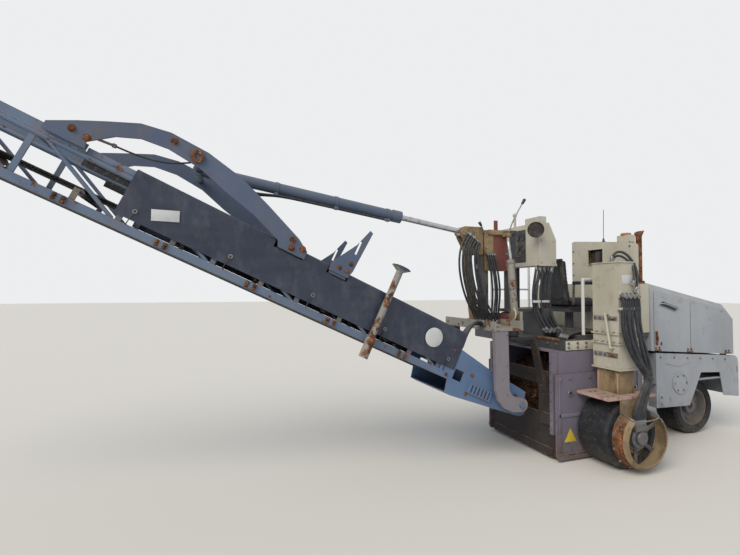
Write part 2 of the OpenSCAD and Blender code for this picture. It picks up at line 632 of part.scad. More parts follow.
// Cross tubes between the two sides.
module truss_cross() color("#8093a8") row() along() {
  for (u = [truss_start + 20 : bay : truss_end - 100]) {
    bar_y(u, -30, 10, -side_in - 2 + touch_gap, side_in + 2 - touch_gap, 20);
    difference() {
      bar_y(u, chord_v, 14, -side_in + 13, side_in - 13, 20);
      for (s = [-1, 1]) bar([u - 40, s * (side_in - 13), chord_v], [u + 40, s * (side_in - 13), chord_v], 21 + touch_gap, 24);
    }
  }
}

// Outline of the endless belt's loop at one radius.
module loop_outline(r) {
  translate([tail_u, belt_v]) circle(r = r, $fn = 64);
  translate([head_u, belt_v]) circle(r = r, $fn = 64);
  translate([tail_u, belt_v - r]) square([head_u - tail_u, 2 * r]);
}

module belt() color("#1c1c1d") row() along() {
  plate(-belt_width / 2, belt_width / 2) difference() {
    loop_outline(belt_outer);
    loop_outline(belt_inner);
  }
}

module idlers() color("#4d5053") row() along() {
  for (u = [truss_start + 330 : bay : truss_end - 300]) {
    bar_y(u, idler_v, 26, -belt_width / 2, belt_width / 2, 24);
    bar_y(u, idler_v, 9, -side_in - 2, side_in + 2, 20);
    for (s = [-1, 1]) slab([u - 20, s > 0 ? side_in - 12 : -side_in + 2, -2.5], [u + 20, s > 0 ? side_in - 2 : -side_in + 12, 85]);
  }
}

module head_drum() color("#6f7072") row() along() {
  bar_y(head_u, belt_v, roller_radius, -belt_width / 2 - 10, belt_width / 2 + 10, 48);
  bar_y(head_u, belt_v, 21, -side_in - 20, side_in + 20, 32);
}

module tail_drum() color("#6f7072") row() along() {
  bar_y(tail_u, belt_v, roller_radius, -belt_width / 2 - 5, belt_width / 2 + 5, 48);
  bar_y(tail_u, belt_v, 21, -belt_width / 2 - 75, belt_width / 2 + 75, 32);
}

// Vinyl cover over the truss, open below.
module cover() color("#22242a") row() along() {
  inside = side_in + 8 + touch_gap;
  top = chord_v + 21 + touch_gap;
  difference() {
    plate(-inside - 4, inside + 4) polygon([[720, 90], [3800, 75], [3800, top + 4], [720, top + 4]]);
    plate(-inside, inside) polygon([[700, 0], [3820, 0], [3820, top], [700, top]]);
    for (u = [2430, 2020]) for (s = [-1, 1])
      slab([u, s > 0 ? side_in - 32 : -inside - 5, 300], [u + (u > 2400 ? 230 : 170), s > 0 ? inside + 5 : -side_in + 32, 350]);
  }
}

// Two gooseneck plates that carry the lift cylinder's pin.
module arches() color("#93a0b2") row() along() {
  for (y = [-side_in - 38, side_in + 22]) plate(y, y + 16) difference() {
    polygon([[4380, 402], [4225, 500], [4066, 591], [3881, 691], [3681, 737], [3395, 735], [3103, 683], [2829, 585],
      [2515, 461], [2412, 395], [2412, 330], [2640, 330], [2661, 377], [2910, 469], [3170, 530], [3401, 600],
      [3648, 619], [3833, 592], [3977, 521], [4115, 396], [4100, 345], [4380, 345]]);
    translate(arch_pin) circle(r = 25.3, $fn = 32);
  }
  for (s = [-1, 1]) {
    slab([2440, s > 0 ? side_in - 22 : -side_in - 23, 328 + touch_gap], [2640, s > 0 ? side_in + 23 : -side_in + 22, 372]);
    slab([4130, s > 0 ? side_in + 5 + touch_gap : -side_in - 23, 345], [4350, s > 0 ? side_in + 23 : -side_in - 5 - touch_gap, 400]);
  }
  bar_y(arch_pin[0], arch_pin[1], 25, -side_in - 52, side_in + 52, 40);
  for (u = [2500, 4300]) bar_y(u, 410, 18, -side_in - 24, side_in + 24, 24);
}

// Horn plates and the prop bar with its socket.
module brackets() color("#a58a68") row() along() {
  for (y = [-side_in - 34, side_in + 22]) plate(y, y + 12) difference() {
    polygon([[2195, 350], [2020, 350], [2000, 420], [1975, 790], [2005, 800], [2060, 640], [2195, 420]]);
    translate([2030, 560]) square([20, 120]);
  }
  for (s = [-1, 1]) slab([2030, s > 0 ? side_in - 22 : -side_in - 23, 328 + touch_gap], [2180, s > 0 ? side_in + 23 : -side_in + 22, 372]);
  bar([1632, -side_in - 68, -165], [1632, -side_in - 68, 600], 30, 32);
  bar([1632, -side_in - 68, -190], [1632, -side_in - 68, -20], 40, 32);
  translate([1632, -side_in - 68, 600]) cylinder(r1 = 34, r2 = 85, h = 34, $fn = 32);
  slab([1600, -side_in - 60, -61], [1664, -side_in - 8 - touch_gap, -5]);
}

// Lift cylinder drawn from the arch pin toward the mast pin.
arch_world = [tilt_x - arch_pin[0] * cos(lift_angle) + arch_pin[1] * sin(lift_angle),
  tilt_height + arch_pin[0] * sin(lift_angle) + arch_pin[1] * cos(lift_angle)];
lift_vec = mast_pin - arch_world;
lift_len = norm(lift_vec);

module along_lift() {
  translate([arch_world[0], 0, arch_world[1]]) rotate([0, -atan2(lift_vec[1], lift_vec[0]), 0]) children();
}

module lift_barrel() color("#9d8a70") row() along_lift() {
  difference() {
    union() {
      bar_y(0, 0, 48, -30, 30, 40);
      translate([30, 0, 0]) rotate([0, 90, 0]) cylinder(r = 50, h = 1770, $fn = 48);
      translate([1740, 0, 0]) rotate([0, 90, 0]) cylinder(r = 58, h = 90, $fn = 48);
    }
    bar_y(0, 0, 25 + pin_gap, -60, 60, 40);
    translate([120, 0, 0]) rotate([0, 90, 0]) cylinder(r = 41, h = 1900, $fn = 48);
  }
}

module lift_rod() color("#c8c8c8") row() along_lift() {
  difference() {
    union() {
      translate([960, 0, 0]) rotate([0, 90, 0]) cylinder(r = 27, h = lift_len - 990, $fn = 40);
      translate([960, 0, 0]) rotate([0, 90, 0]) cylinder(r = 40, h = 60, $fn = 40);
      bar_y(lift_len, 0, 46, -30, 30, 40);
    }
    bar_y(lift_len, 0, 30, -60, 60, 40);
  }
}

main_frame();
drum_housing();
engine();
side_panels();
rear_cowl();
bulkhead();
bumper();
platform();
handrails();
seat();
seat_base();
console();
leg_boxes();
front_axle();
exhaust();
drum_body();
picks();
hood();
scraper();
side_plate_right();
side_plate_left();
leg_right();
motor_right();
leg_left();
tyre_rear_right();
rim_rear_right();
tyre_rear_left();
rim_rear_left();
tyre_front_right();
rim_front_right();
tyre_front_left();
rim_front_left();
knuckle_right();
knuckle_left();
slew_frame();
j_arms();
mast();
tail_section();
truss_right();
truss_left();
truss_cross();
belt();
idlers();
cover();
arches();
brackets();
head_drum();
tail_drum();
lift_barrel();
lift_rod();
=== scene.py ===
"""Looks of a cold planer milling machine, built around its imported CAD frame.

Sizes in the classes are millimetres about the drum's middle on the ground, as in the part's source:
X points to the machine's front, Y to its left and Z up. A piece is moved to the row frame, in metres,
as its last step.
"""

import logging
import math
from dataclasses import dataclass, field
from enum import Enum

import bmesh
import bpy
from mathutils import Matrix, Vector, noise


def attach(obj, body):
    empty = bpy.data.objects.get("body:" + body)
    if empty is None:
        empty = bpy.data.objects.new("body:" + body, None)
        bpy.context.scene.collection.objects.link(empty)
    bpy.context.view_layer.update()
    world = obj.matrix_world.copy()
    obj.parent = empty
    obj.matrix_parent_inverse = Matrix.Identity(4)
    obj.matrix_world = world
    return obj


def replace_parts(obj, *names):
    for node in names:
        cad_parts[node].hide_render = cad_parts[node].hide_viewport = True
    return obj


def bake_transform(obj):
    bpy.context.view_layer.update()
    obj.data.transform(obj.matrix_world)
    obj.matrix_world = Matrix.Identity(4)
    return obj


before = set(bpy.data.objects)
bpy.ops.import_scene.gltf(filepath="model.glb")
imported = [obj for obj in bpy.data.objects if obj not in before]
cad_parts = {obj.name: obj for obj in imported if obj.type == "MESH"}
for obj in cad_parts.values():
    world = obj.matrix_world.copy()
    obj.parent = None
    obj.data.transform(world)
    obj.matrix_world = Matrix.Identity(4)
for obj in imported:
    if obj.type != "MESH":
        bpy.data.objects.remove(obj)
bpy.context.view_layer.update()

LOG = logging.getLogger("cold_planer")

# The drum's middle in the row frame, the conveyor's tilt pin and its angle as parked.
ROW_X = -2755.903
ROW_Y = 31.25
TILT_X = -900.0
TILT_Z = 547.0
LIFT_ANGLE = math.radians(25.0)

MACHINE = Matrix.Translation((-ROW_X / 1000, -ROW_Y / 1000, 0)) @ Matrix.Scale(0.001, 4)
CONVEYOR = (
    MACHINE
    @ Matrix.Translation((TILT_X, 0, TILT_Z))
    @ Matrix.Rotation(LIFT_ANGLE, 4, "Y")
    @ Matrix.Diagonal((-1, 1, 1, 1))
)


class Body(Enum):
    """The moving bodies that a piece can ride on."""

    CHASSIS = "chassis"
    HOOD = "hood_lid"
    EDGE_RIGHT = "edge_plate_right"
    EDGE_LEFT = "edge_plate_left"
    LEG_RIGHT = "rear_leg_right"
    WHEEL_REAR_RIGHT = "wheel_rear_right"
    WHEEL_REAR_LEFT = "wheel_rear_left"
    WHEEL_FRONT_RIGHT = "wheel_front_right"
    WHEEL_FRONT_LEFT = "wheel_front_left"
    SLEWING = "slewing"
    CONVEYOR = "conveyor"
    LIFT_CYLINDER = "lift_cylinder"


class Side(Enum):
    """The machine's two sides, as the sign of Y."""

    RIGHT = -1
    LEFT = 1


def linear(hex_code: str) -> tuple[float, float, float, float]:
    """Turn an sRGB hex value into Blender's linear colour.

    Args:
        hex_code: Six hex digits, with or without a leading hash.

    Returns:
        Linear red, green, blue and an alpha of one.
    """
    digits = hex_code.lstrip("#")
    parts = [int(digits[i : i + 2], 16) / 255 for i in (0, 2, 4)]
    red, green, blue = (c / 12.92 if c <= 0.04045 else ((c + 0.055) / 1.055) ** 2.4 for c in parts)
    return (red, green, blue, 1.0)


def add_node(
    tree: bpy.types.NodeTree,
    kind: str,
    values: dict | None = None,
    links: dict | None = None,
    **options: object,
) -> bpy.types.Node:
    """Add one shader node with its settings and links.

    Args:
        tree: The material's node tree.
        kind: The node's type without its ShaderNode prefix.
        values: Input name or number to constant.
        links: Input name or number to the output socket that feeds it.
        options: Attributes of the node, such as operation.

    Returns:
        The new node.
    """
    node = tree.nodes.new("ShaderNode" + kind)
    for name, value in options.items():
        setattr(node, name, value)
    for name, value in (values or {}).items():
        node.inputs[name].default_value = value
    for name, socket in (links or {}).items():
        tree.links.new(socket, node.inputs[name])
    return node


# Numbers of the colour sockets on a Mix node.
MIX_A, MIX_B, MIX_OUT = 6, 7, 2

# Most of a noise lies within this much round its middle.
NOISE_SPREAD = 0.42


@dataclass
class Coat:
    """The colour, height and gloss of one surface, built up layer by layer as dirt and rust settle on it."""

    tree: bpy.types.NodeTree
    point: bpy.types.NodeSocket
    colour: bpy.types.NodeSocket
    gloss: bpy.types.NodeSocket
    normal: bpy.types.NodeSocket | None = None

    def patches(
        self,
        size: float,
        share: float,
        soft: float = 0.06,
        stretch: tuple[float, float, float] = (1, 1, 1),
        detail: float = 8.0,
        rough: float = 0.6,
        lift: bpy.types.NodeSocket | None = None,
        reach: float = 0.15,
    ) -> bpy.types.NodeSocket:
        """Make a mask of broken patches.

        Args:
            size: Width of the largest patches, in millimetres.
            share: Rough share of the surface that they cover, from 0 to 1.
            soft: Width of their faded edge, in units of the noise.
            stretch: Scale along X, Y and Z; below one makes streaks along that direction.
            detail: Octaves of the noise.
            rough: Weight of the finer octaves.
            lift: A mask that makes patches likelier where it is white.
            reach: How much likelier, in units of the noise.

        Returns:
            The socket of the mask.
        """
        place = add_node(self.tree, "Mapping", {"Scale": stretch}, {"Vector": self.point})
        cloud = add_node(
            self.tree,
            "TexNoise",
            {"Scale": 1000 / size, "Detail": detail, "Roughness": rough},
            {"Vector": place.outputs[0]},
        ).outputs[0]
        if lift is not None:
            cloud = add_node(
                self.tree, "Math", {1: reach}, {0: lift, 2: cloud}, operation="MULTIPLY_ADD"
            ).outputs[0]
        edge = 0.5 + (0.5 - share) * NOISE_SPREAD
        return self.ramp(cloud, edge - soft / 2, edge + soft / 2, "SMOOTHSTEP")

    def ramp(
        self, value: bpy.types.NodeSocket, low: float, high: float, kind: str = "LINEAR"
    ) -> bpy.types.NodeSocket:
        """Make a mask that is black at one value and white at another.

        Args:
            value: What it follows.
            low: Value at which it is black.
            high: Value at which it is white.
            kind: How it runs between the two.

        Returns:
            The socket of the mask.
        """
        ends = {"From Min": low, "From Max": high}
        node = add_node(self.tree, "MapRange", ends, {"Value": value}, interpolation_type=kind)
        return node.outputs[0]

    def lay(self, hex_code: str, mask: bpy.types.NodeSocket, gloss: float, hide: float = 1.0) -> None:
        """Lay a colour over what is below, where the mask is white.

        Args:
            hex_code: Colour of the layer.
            mask: Where it lies.
            gloss: Its roughness.
            hide: How much of what is below it hides, from 0 to 1.
        """
        thin = add_node(self.tree, "Math", {1: hide}, {0: mask}, operation="MULTIPLY").outputs[0]
        self.colour = add_node(
            self.tree,
            "Mix",
            {MIX_B: linear(hex_code)},
            {0: thin, MIX_A: self.colour},
            data_type="RGBA",
        ).outputs[MIX_OUT]
        self.gloss = add_node(self.tree, "Mix", {3: gloss}, {0: thin, 2: self.gloss}).outputs[0]

    def edges(self, radius: float) -> bpy.types.NodeSocket:
        """Make a mask of the outer edges, where paint wears first.

        Args:
            radius: Width of the worn band, in millimetres.

        Returns:
            The socket of the mask.
        """
        rounded = add_node(self.tree, "Bevel", {"Radius": radius / 1000}, samples=4)
        flat = add_node(self.tree, "NewGeometry")
        turn = add_node(
            self.tree,
            "VectorMath",
            {},
            {0: rounded.outputs[0], 1: flat.outputs["Normal"]},
            operation="DOT_PRODUCT",
        ).outputs["Value"]
        return self.ramp(turn, 0.995, 0.8)

    def upward(self, low: float, high: float) -> bpy.types.NodeSocket:
        """Make a mask of the faces that look up, where dust settles.

        Args:
            low: Upward part of the normal at which it starts.
            high: Upward part at which it is full.

        Returns:
            The socket of the mask.
        """
        normal = add_node(self.tree, "NewGeometry").outputs["Normal"]
        height = add_node(self.tree, "SeparateXYZ", {}, {0: normal}).outputs[2]
        return self.ramp(height, low, high)

    def below(self, full: float, none: float) -> bpy.types.NodeSocket:
        """Make a mask that fades out with height above the ground.

        Args:
            full: Height at which it is white, in millimetres.
            none: Height at which it has gone.

        Returns:
            The socket of the mask.
        """
        height = add_node(self.tree, "SeparateXYZ", {}, {0: self.point}).outputs[2]
        return self.ramp(height, none / 1000, full / 1000)

    def both(self, one: bpy.types.NodeSocket, other: bpy.types.NodeSocket) -> bpy.types.NodeSocket:
        """Keep what two masks share."""
        return add_node(self.tree, "Math", {}, {0: one, 1: other}, operation="MULTIPLY").outputs[0]

    def dent(self, height: bpy.types.NodeSocket, depth: float, strength: float = 1.0) -> None:
        """Raise the surface where a mask is white.

        Args:
            height: The mask.
            depth: Height of white over black, in millimetres.
            strength: Share of the effect, from 0 to 1.
        """
        links = {"Height": height}
        if self.normal is not None:
            links["Normal"] = self.normal
        self.normal = add_node(
            self.tree, "Bump", {"Strength": strength, "Distance": depth / 1000}, links
        ).outputs[0]


class Finish:
    """A finish that a piece can be given; each subclass is one real material."""

    made: dict[str, bpy.types.Material] = {}

    def material(self) -> bpy.types.Material:
        """Give the Blender material, made once for each finish."""
        if self.name not in Finish.made:
            Finish.made[self.name] = self.build()
        return Finish.made[self.name]

    def start(self, hex_code: str, gloss: float) -> tuple[bpy.types.Material, Coat]:
        """Make an empty material and the coat that its layers are laid on.

        Args:
            hex_code: Colour of the bare ground.
            gloss: Roughness of the bare ground.

        Returns:
            The material and its coat.
        """
        material = bpy.data.materials.new(self.name)
        material.use_nodes = True
        material.node_tree.nodes.clear()
        tree = material.node_tree
        point = add_node(tree, "TexCoord").outputs["Object"]
        colour = add_node(
            tree,
            "Mix",
            {0: 0.0, MIX_A: linear(hex_code), MIX_B: linear(hex_code)},
            data_type="RGBA",
        ).outputs[MIX_OUT]
        level = add_node(tree, "Math", {0: gloss, 1: 0.0}, operation="ADD").outputs[0]
        return material, Coat(tree, point, colour, level)

    def close(self, coat: Coat, **constants: float) -> None:
        """Join a coat to its shader.

        Args:
            coat: The finished layers.
            constants: Values for the shader's own sockets, with _ for a space.
        """
        values = {name.replace("_", " "): value for name, value in constants.items()}
        links = {"Base Color": coat.colour, "Roughness": coat.gloss}
        if coat.normal is not None:
            links["Normal"] = coat.normal
        shader = add_node(coat.tree, "BsdfPrincipled", values, links)
        add_node(coat.tree, "OutputMaterial", {}, {"Surface": shader.outputs[0]})


@dataclass(frozen=True)
class CoachEnamel(Finish):
    """Air-dried coach enamel on folded sheet steel: chalky, streaked by rain, rusting from its edges."""

    name: str
    paint: str
    chalk: str
    rust: float = 0.12
    edge_rust: float = 0.2
    dust: float = 0.5
    mud_height: float = 500.0
    gloss: float = 0.45

    def build(self) -> bpy.types.Material:
        """Lay chalking, rain streaks, dust, mud and rust over the paint."""
        material, coat = self.start(self.paint, self.gloss)
        # Sun and weather chalk the enamel in clouds about half a metre wide.
        coat.lay(self.chalk, coat.patches(620, 0.5, 0.34), 0.62, 0.8)
        coat.lay(self.chalk, coat.patches(170, 0.4, 0.4, detail=4), 0.6, 0.3)
        # Rain draws dirt down in soft streaks some 100 mm wide, faint but for a few.
        coat.lay("#6A6256", coat.patches(230, 0.34, 0.5, (1, 1, 0.16), 5, 0.5), 0.65, 0.16)
        # Scuffs and grime in small broken patches.
        coat.lay("#5E5548", coat.patches(120, 0.22, 0.12, detail=12, rough=0.7), 0.7, 0.28)
        # Dust lies on what looks up, mud on what is low.
        settled = coat.both(coat.upward(0.35, 0.9), coat.patches(130, 0.62, 0.3))
        coat.lay("#8F8371", settled, 0.95, self.dust)
        splashed = coat.both(coat.below(120, self.mud_height), coat.patches(60, 0.62, 0.3))
        coat.lay("#5F5243", splashed, 0.95, 0.7)
        # Rust breaks out at edges first, then in pits 5 to 60 mm wide.
        worn = coat.edges(7)
        spots = coat.patches(110, self.rust, 0.05, detail=12, rough=0.72, lift=worn, reach=self.edge_rust)
        coat.lay("#5A3A28", spots, 0.9)
        coat.lay("#8A5C3C", coat.both(spots, coat.patches(30, 0.45, 0.3)), 0.92, 0.7)
        stain = coat.patches(110, self.rust + 0.08, 0.2, (1, 1, 0.5), 12, 0.7, worn, self.edge_rust)
        coat.lay("#8A6A50", stain, 0.8, 0.25)
        # Sheet that is a little wavy between its folds, and pits in the rust.
        coat.dent(coat.patches(520, 0.5, 0.9, detail=1.5), 6, 0.6)
        coat.dent(spots, -0.5)
        self.close(coat, Specular_IOR_Level=0.4)
        return material


@dataclass(frozen=True)
class RustedSteel(Finish):
    """Bare hot-rolled plate left to rust: brown scale with orange bloom, no gloss at all."""

    name: str
    scale: str = "#4A3328"
    bloom: str = "#8C5A3A"
    dust: str = "#8F7C66"
    paint_left: float = 0.0
    paint: str = "#8A8A86"

    def build(self) -> bpy.types.Material:
        """Lay bloom, dust and the last of the paint over the scale."""
        material, coat = self.start(self.scale, 0.85)
        coat.lay(self.bloom, coat.patches(70, 0.45, 0.2, detail=10), 0.9, 0.8)
        coat.lay("#B37F55", coat.patches(24, 0.28, 0.12, detail=10), 0.95, 0.6)
        if self.paint_left:
            flakes = coat.patches(110, self.paint_left, 0.04, detail=12, rough=0.7)
            coat.lay(self.paint, flakes, 0.6)
            coat.dent(flakes, 0.4)
        coat.lay(self.dust, coat.both(coat.upward(0.2, 0.9), coat.patches(60, 0.6, 0.3)), 0.95, 0.6)
        coat.dent(coat.patches(9, 0.5, 0.6, detail=6), 0.6)
        self.close(coat, Specular_IOR_Level=0.25)
        return material


@dataclass(frozen=True)
class DustyPrimer(Finish):
    """Steel under primer and a cake of dried milling dust: matt, blotched, darker where oil has soaked in."""

    name: str
    primer: str
    cake: str
    oil: str = "#2F2A28"
    rust: float = 0.2

    def build(self) -> bpy.types.Material:
        """Lay dust cake, oil and rust over the primer."""
        material, coat = self.start(self.primer, 0.7)
        coat.lay(self.cake, coat.patches(160, 0.5, 0.2, detail=9), 0.92, 0.85)
        coat.lay(self.oil, coat.patches(95, 0.26, 0.14, (1, 1, 0.4), 8), 0.45, 0.6)
        worn = coat.edges(8)
        spots = coat.patches(60, self.rust, 0.05, detail=12, rough=0.7, lift=worn, reach=0.22)
        coat.lay("#6A3F2A", spots, 0.9)
        coat.lay("#A8714A", coat.both(spots, coat.patches(16, 0.45, 0.2)), 0.95, 0.7)
        settled = coat.both(coat.upward(0.3, 0.9), coat.patches(90, 0.62, 0.3))
        coat.lay("#9A8A74", settled, 0.95, 0.55)
        coat.dent(coat.patches(160, 0.5, 0.2, detail=9), 0.9)
        coat.dent(coat.patches(12, 0.5, 0.5, detail=5), 0.4)
        self.close(coat, Specular_IOR_Level=0.3)
        return material


@dataclass(frozen=True)
class SolidRubber(Finish):
    """Solid tyre and belt rubber: carbon black, scuffed grey, with grit rubbed into it."""

    name: str
    black: str = "#232528"
    scuff: str = "#4B4C4D"
    grit: float = 0.35

    def build(self) -> bpy.types.Material:
        """Lay scuffs and grit over the black."""
        material, coat = self.start(self.black, 0.72)
        coat.lay(self.scuff, coat.patches(150, 0.4, 0.35, detail=10), 0.85, 0.6)
        coat.lay("#77695A", coat.patches(28, self.grit * 0.5, 0.2, detail=8), 0.95, 0.55)
        coat.lay("#6E655A", coat.both(coat.below(0, 240), coat.patches(50, 0.6, 0.3)), 0.95, 0.55)
        coat.dent(coat.patches(10, 0.5, 0.5, detail=6), 0.5)
        coat.dent(coat.patches(55, 0.3, 0.08, detail=6), 1.2, 0.6)
        self.close(coat, Specular_IOR_Level=0.35)
        return material


@dataclass(frozen=True)
class TruckVinyl(Finish):
    """Vinyl-coated cloth, 0.6 mm thick: blue-black, half matt, creased where folded, dusty in hollows."""

    name: str
    black: str = "#232B3E"
    dust: float = 0.35

    def build(self) -> bpy.types.Material:
        """Lay dust and rubbed places over the vinyl."""
        material, coat = self.start(self.black, 0.42)
        coat.lay("#3C4558", coat.patches(420, 0.45, 0.4, detail=6), 0.5, 0.5)
        coat.lay("#5C6068", coat.patches(90, 0.3, 0.3, (1, 1, 0.5), 10), 0.75, self.dust)
        coat.lay("#7B7466", coat.both(coat.upward(0.4, 0.95), coat.patches(120, 0.5, 0.35)), 0.9, 0.3)
        # Cloth backing of about 1 mm, drawn at 5 mm so that it shows.
        coat.dent(coat.patches(5, 0.5, 0.8, detail=2), 0.15)
        coat.dent(coat.patches(190, 0.5, 0.5, detail=3, rough=0.4), 3.5, 0.7)
        self.close(coat, Specular_IOR_Level=0.5, Sheen_Weight=0.1, Sheen_Roughness=0.4)
        return material


@dataclass(frozen=True)
class SeatVinyl(Finish):
    """Moulded seat vinyl: black, with a leather-like grain of 2 to 3 mm, shiny where it is sat on."""

    name: str
    black: str = "#171B24"

    def build(self) -> bpy.types.Material:
        """Lay dust and wear over the grain."""
        material, coat = self.start(self.black, 0.5)
        coat.lay("#2C313C", coat.patches(140, 0.4, 0.4, detail=5), 0.38, 0.6)
        coat.lay("#6B6558", coat.both(coat.upward(0.3, 0.95), coat.patches(60, 0.45, 0.3)), 0.85, 0.35)
        coat.dent(coat.patches(6, 0.5, 0.5, detail=3), 0.35)
        self.close(coat, Specular_IOR_Level=0.5)
        return material


@dataclass(frozen=True)
class BareMetal(Finish):
    """Zinc-plated, cast or chromed steel: grey metal, dulled by dust and oil in patches."""

    name: str
    metal: str
    rough: float
    dust: str = "#7E766A"
    dust_share: float = 0.4
    rust: float = 0.1

    def build(self) -> bpy.types.Material:
        """Lay dust and specks of rust over the metal."""
        material, coat = self.start(self.metal, self.rough)
        film = coat.patches(70, self.dust_share, 0.25, detail=9)
        coat.lay(self.dust, film, 0.85, 0.7)
        coat.lay("#6A4430", coat.patches(30, self.rust, 0.05, detail=10), 0.9, 0.9)
        coat.dent(film, 0.3)
        self.close(coat, Metallic=0.85)
        return material


@dataclass(frozen=True)
class HydraulicHose(Finish):
    """Rubber-covered wire-braid hose: black, dusty on top, polished where it rubs."""

    name: str
    black: str = "#1D2026"
    dust: float = 0.45

    def build(self) -> bpy.types.Material:
        """Lay dust over the rubber."""
        material, coat = self.start(self.black, 0.5)
        coat.lay("#3E4249", coat.patches(60, 0.4, 0.3, detail=6), 0.6, 0.6)
        coat.lay("#857C6C", coat.both(coat.upward(0.2, 0.95), coat.patches(40, 0.55, 0.3)), 0.95, self.dust)
        self.close(coat, Specular_IOR_Level=0.5)
        return material


@dataclass(frozen=True)
class PlainPaint(Finish):
    """Small painted or moulded piece, such as a plate, lamp or lens, with a film of dust."""

    name: str
    paint: str
    gloss: float = 0.4
    dust: float = 0.35
    rust: float = 0.02

    def build(self) -> bpy.types.Material:
        """Lay dust and a few chips over the paint."""
        material, coat = self.start(self.paint, self.gloss)
        coat.lay("#8A8172", coat.patches(80, 0.35, 0.3, detail=7), 0.85, self.dust)
        coat.lay("#6B4A36", coat.patches(26, self.rust, 0.04, detail=10, lift=coat.edges(5)), 0.9, 0.9)
        self.close(coat, Specular_IOR_Level=0.5)
        return material


class Finishes:
    """Every finish on the machine, by what it is."""

    cream = CoachEnamel("cream_coach_enamel", "#B2AF9F", "#BFBCB0", 0.09, 0.13, 0.45)
    # The cream enamel again, darker and grey-blue: painted sky shade for the shaded faces of the hood and
    # side panels, not a paint of its own.
    cream_in_sky_shade = CoachEnamel("cream_enamel_painted_sky_shade", "#959BA4", "#A4A9B0", 0.05, 0.1, 0.35)
    conveyor_blue = CoachEnamel("blue_grey_enamel", "#566A86", "#6A7C94", 0.19, 0.19, 0.5)
    tail_blue = CoachEnamel("bright_blue_enamel", "#4E6C94", "#607B9E", 0.12, 0.18, 0.45, 620)
    arch_grey = CoachEnamel("arch_grey_enamel", "#48566F", "#58667F", 0.14, 0.17, 0.35)
    arm_grey = CoachEnamel("arm_cream_grey_enamel", "#7A7780", "#868389", 0.16, 0.18, 0.4)
    frame_grey = CoachEnamel("dark_frame_enamel", "#3A3D44", "#484B52", 0.14, 0.15, 0.45)
    housing_mauve = CoachEnamel("worn_mauve_plate", "#6B6778", "#797588", 0.09, 0.12, 0.35, 380)
    red_oxide = CoachEnamel("red_oxide_primer", "#6B2A2C", "#74453F", 0.2, 0.16, 0.45)
    rail_white = CoachEnamel("white_rail_enamel", "#C4C6C8", "#D2D3D0", 0.05, 0.08, 0.25)
    pink_primer = DustyPrimer("pink_dusty_primer", "#A98F88", "#B59A92", "#4A3B38", 0.2)
    tan_cake = DustyPrimer("tan_dust_on_steel", "#7A6A54", "#978566", "#3A332C", 0.2)
    grey_cake = DustyPrimer("grey_dust_on_steel", "#66686E", "#7C776E", "#2E2C2C", 0.14)
    scraper_brown = DustyPrimer("polished_scraper_plate", "#2D2B2D", "#3C3836", "#1E1C1C", 0.1)
    rusty_plate = RustedSteel("rusted_plate")
    rusty_grey = RustedSteel("rusted_plate_with_paint", paint_left=0.62)
    drum_steel = RustedSteel("milled_drum_steel", "#3E322B", "#6B4E3C", "#857662")
    tyre = SolidRubber("solid_tyre_rubber", "#1B1E22", "#3A3D42", 0.28)
    belt = SolidRubber("belt_rubber", "#1F2022", "#38393B", 0.5)
    vinyl = TruckVinyl("coated_truck_vinyl")
    seat = SeatVinyl("moulded_seat_vinyl")
    zinc = BareMetal("zinc_plated_steel", "#8E9094", 0.42)
    cast = BareMetal("cast_motor_housing", "#74767E", 0.6, "#857F7A", 0.5, 0.12)
    barrel_paint = CoachEnamel("blue_grey_cylinder_enamel", "#4A5A72", "#5C6A80", 0.08, 0.1, 0.35)
    chrome = BareMetal("hard_chrome_rod", "#B9BCC2", 0.16, "#8B7E6A", 0.3, 0.02)
    hose = HydraulicHose("hydraulic_hose_rubber")
    white_plate = PlainPaint("white_blank_plate", "#C6CACD", 0.45, 0.2)
    yellow_plate = PlainPaint("yellow_blank_plate", "#C9B23A", 0.4, 0.2)
    black_plastic = PlainPaint("black_moulded_plastic", "#24262A", 0.5, 0.35)
    orange = PlainPaint("orange_vent_cover", "#B46A45", 0.5, 0.4)
    dark_glass = PlainPaint("dark_window_glass", "#2B2426", 0.1, 0.25)


# The CAD nodes, by their finish.
NODE_FINISHES: dict[Finish, str] = {
    Finishes.frame_grey: "main_frame platform seat_base front_axle knuckle_right knuckle_left",
    Finishes.housing_mauve: "drum_housing side_plate_right side_plate_left",
    Finishes.grey_cake: (
        "engine rim_rear_right rim_rear_left rim_front_right rim_front_left idlers head_drum "
        "tail_drum"
    ),
    # Hood, side panels and bumper take the cream paint with painted sky shade.
    Finishes.cream_in_sky_shade: "side_panels bumper hood",
    Finishes.cream: "rear_cowl bulkhead console leg_boxes",
    Finishes.rail_white: "handrails",
    Finishes.rusty_plate: "exhaust",
    Finishes.drum_steel: "drum_body picks",
    Finishes.scraper_brown: "scraper",
    Finishes.tan_cake: "leg_right leg_left mast",
    Finishes.cast: "motor_right",
    Finishes.tyre: "tyre_rear_right tyre_rear_left tyre_front_right tyre_front_left",
    Finishes.red_oxide: "slew_frame",
    Finishes.arm_grey: "j_arms",
    Finishes.tail_blue: "tail_section",
    Finishes.conveyor_blue: "truss_right truss_left truss_cross",
    Finishes.belt: "belt",
    Finishes.arch_grey: "arches brackets",
    Finishes.barrel_paint: "lift_barrel",
    Finishes.chrome: "lift_rod",
}


Point = tuple[float, float, float]
Outline = list[tuple[float, float]]

# The most of a part's smallest size that its rounding may take.
BLOCK_ROUNDING, ROUNDING = 0.45, 0.4

# A hose's nut and crimped ferrule, as shares of its radius.
NUT_LENGTH, NUT_WIDTH = 1.4, 1.45
FERRULE_LENGTH, FERRULE_WIDTH = 3.2, 1.22

# A bolt's head and washer, as shares of half its width over corners, and the washer's thickness.
HEAD_HEIGHT, HEAD_CHAMFER = 0.85, 0.16
WASHER_FOOT, WASHER_TOP, WASHER = 1.45, 1.4, 3.0

# Points of a curve closer than this are one, and an edge this level is a rim.
SAME_POINT, LEVEL = 0.01, 0.001


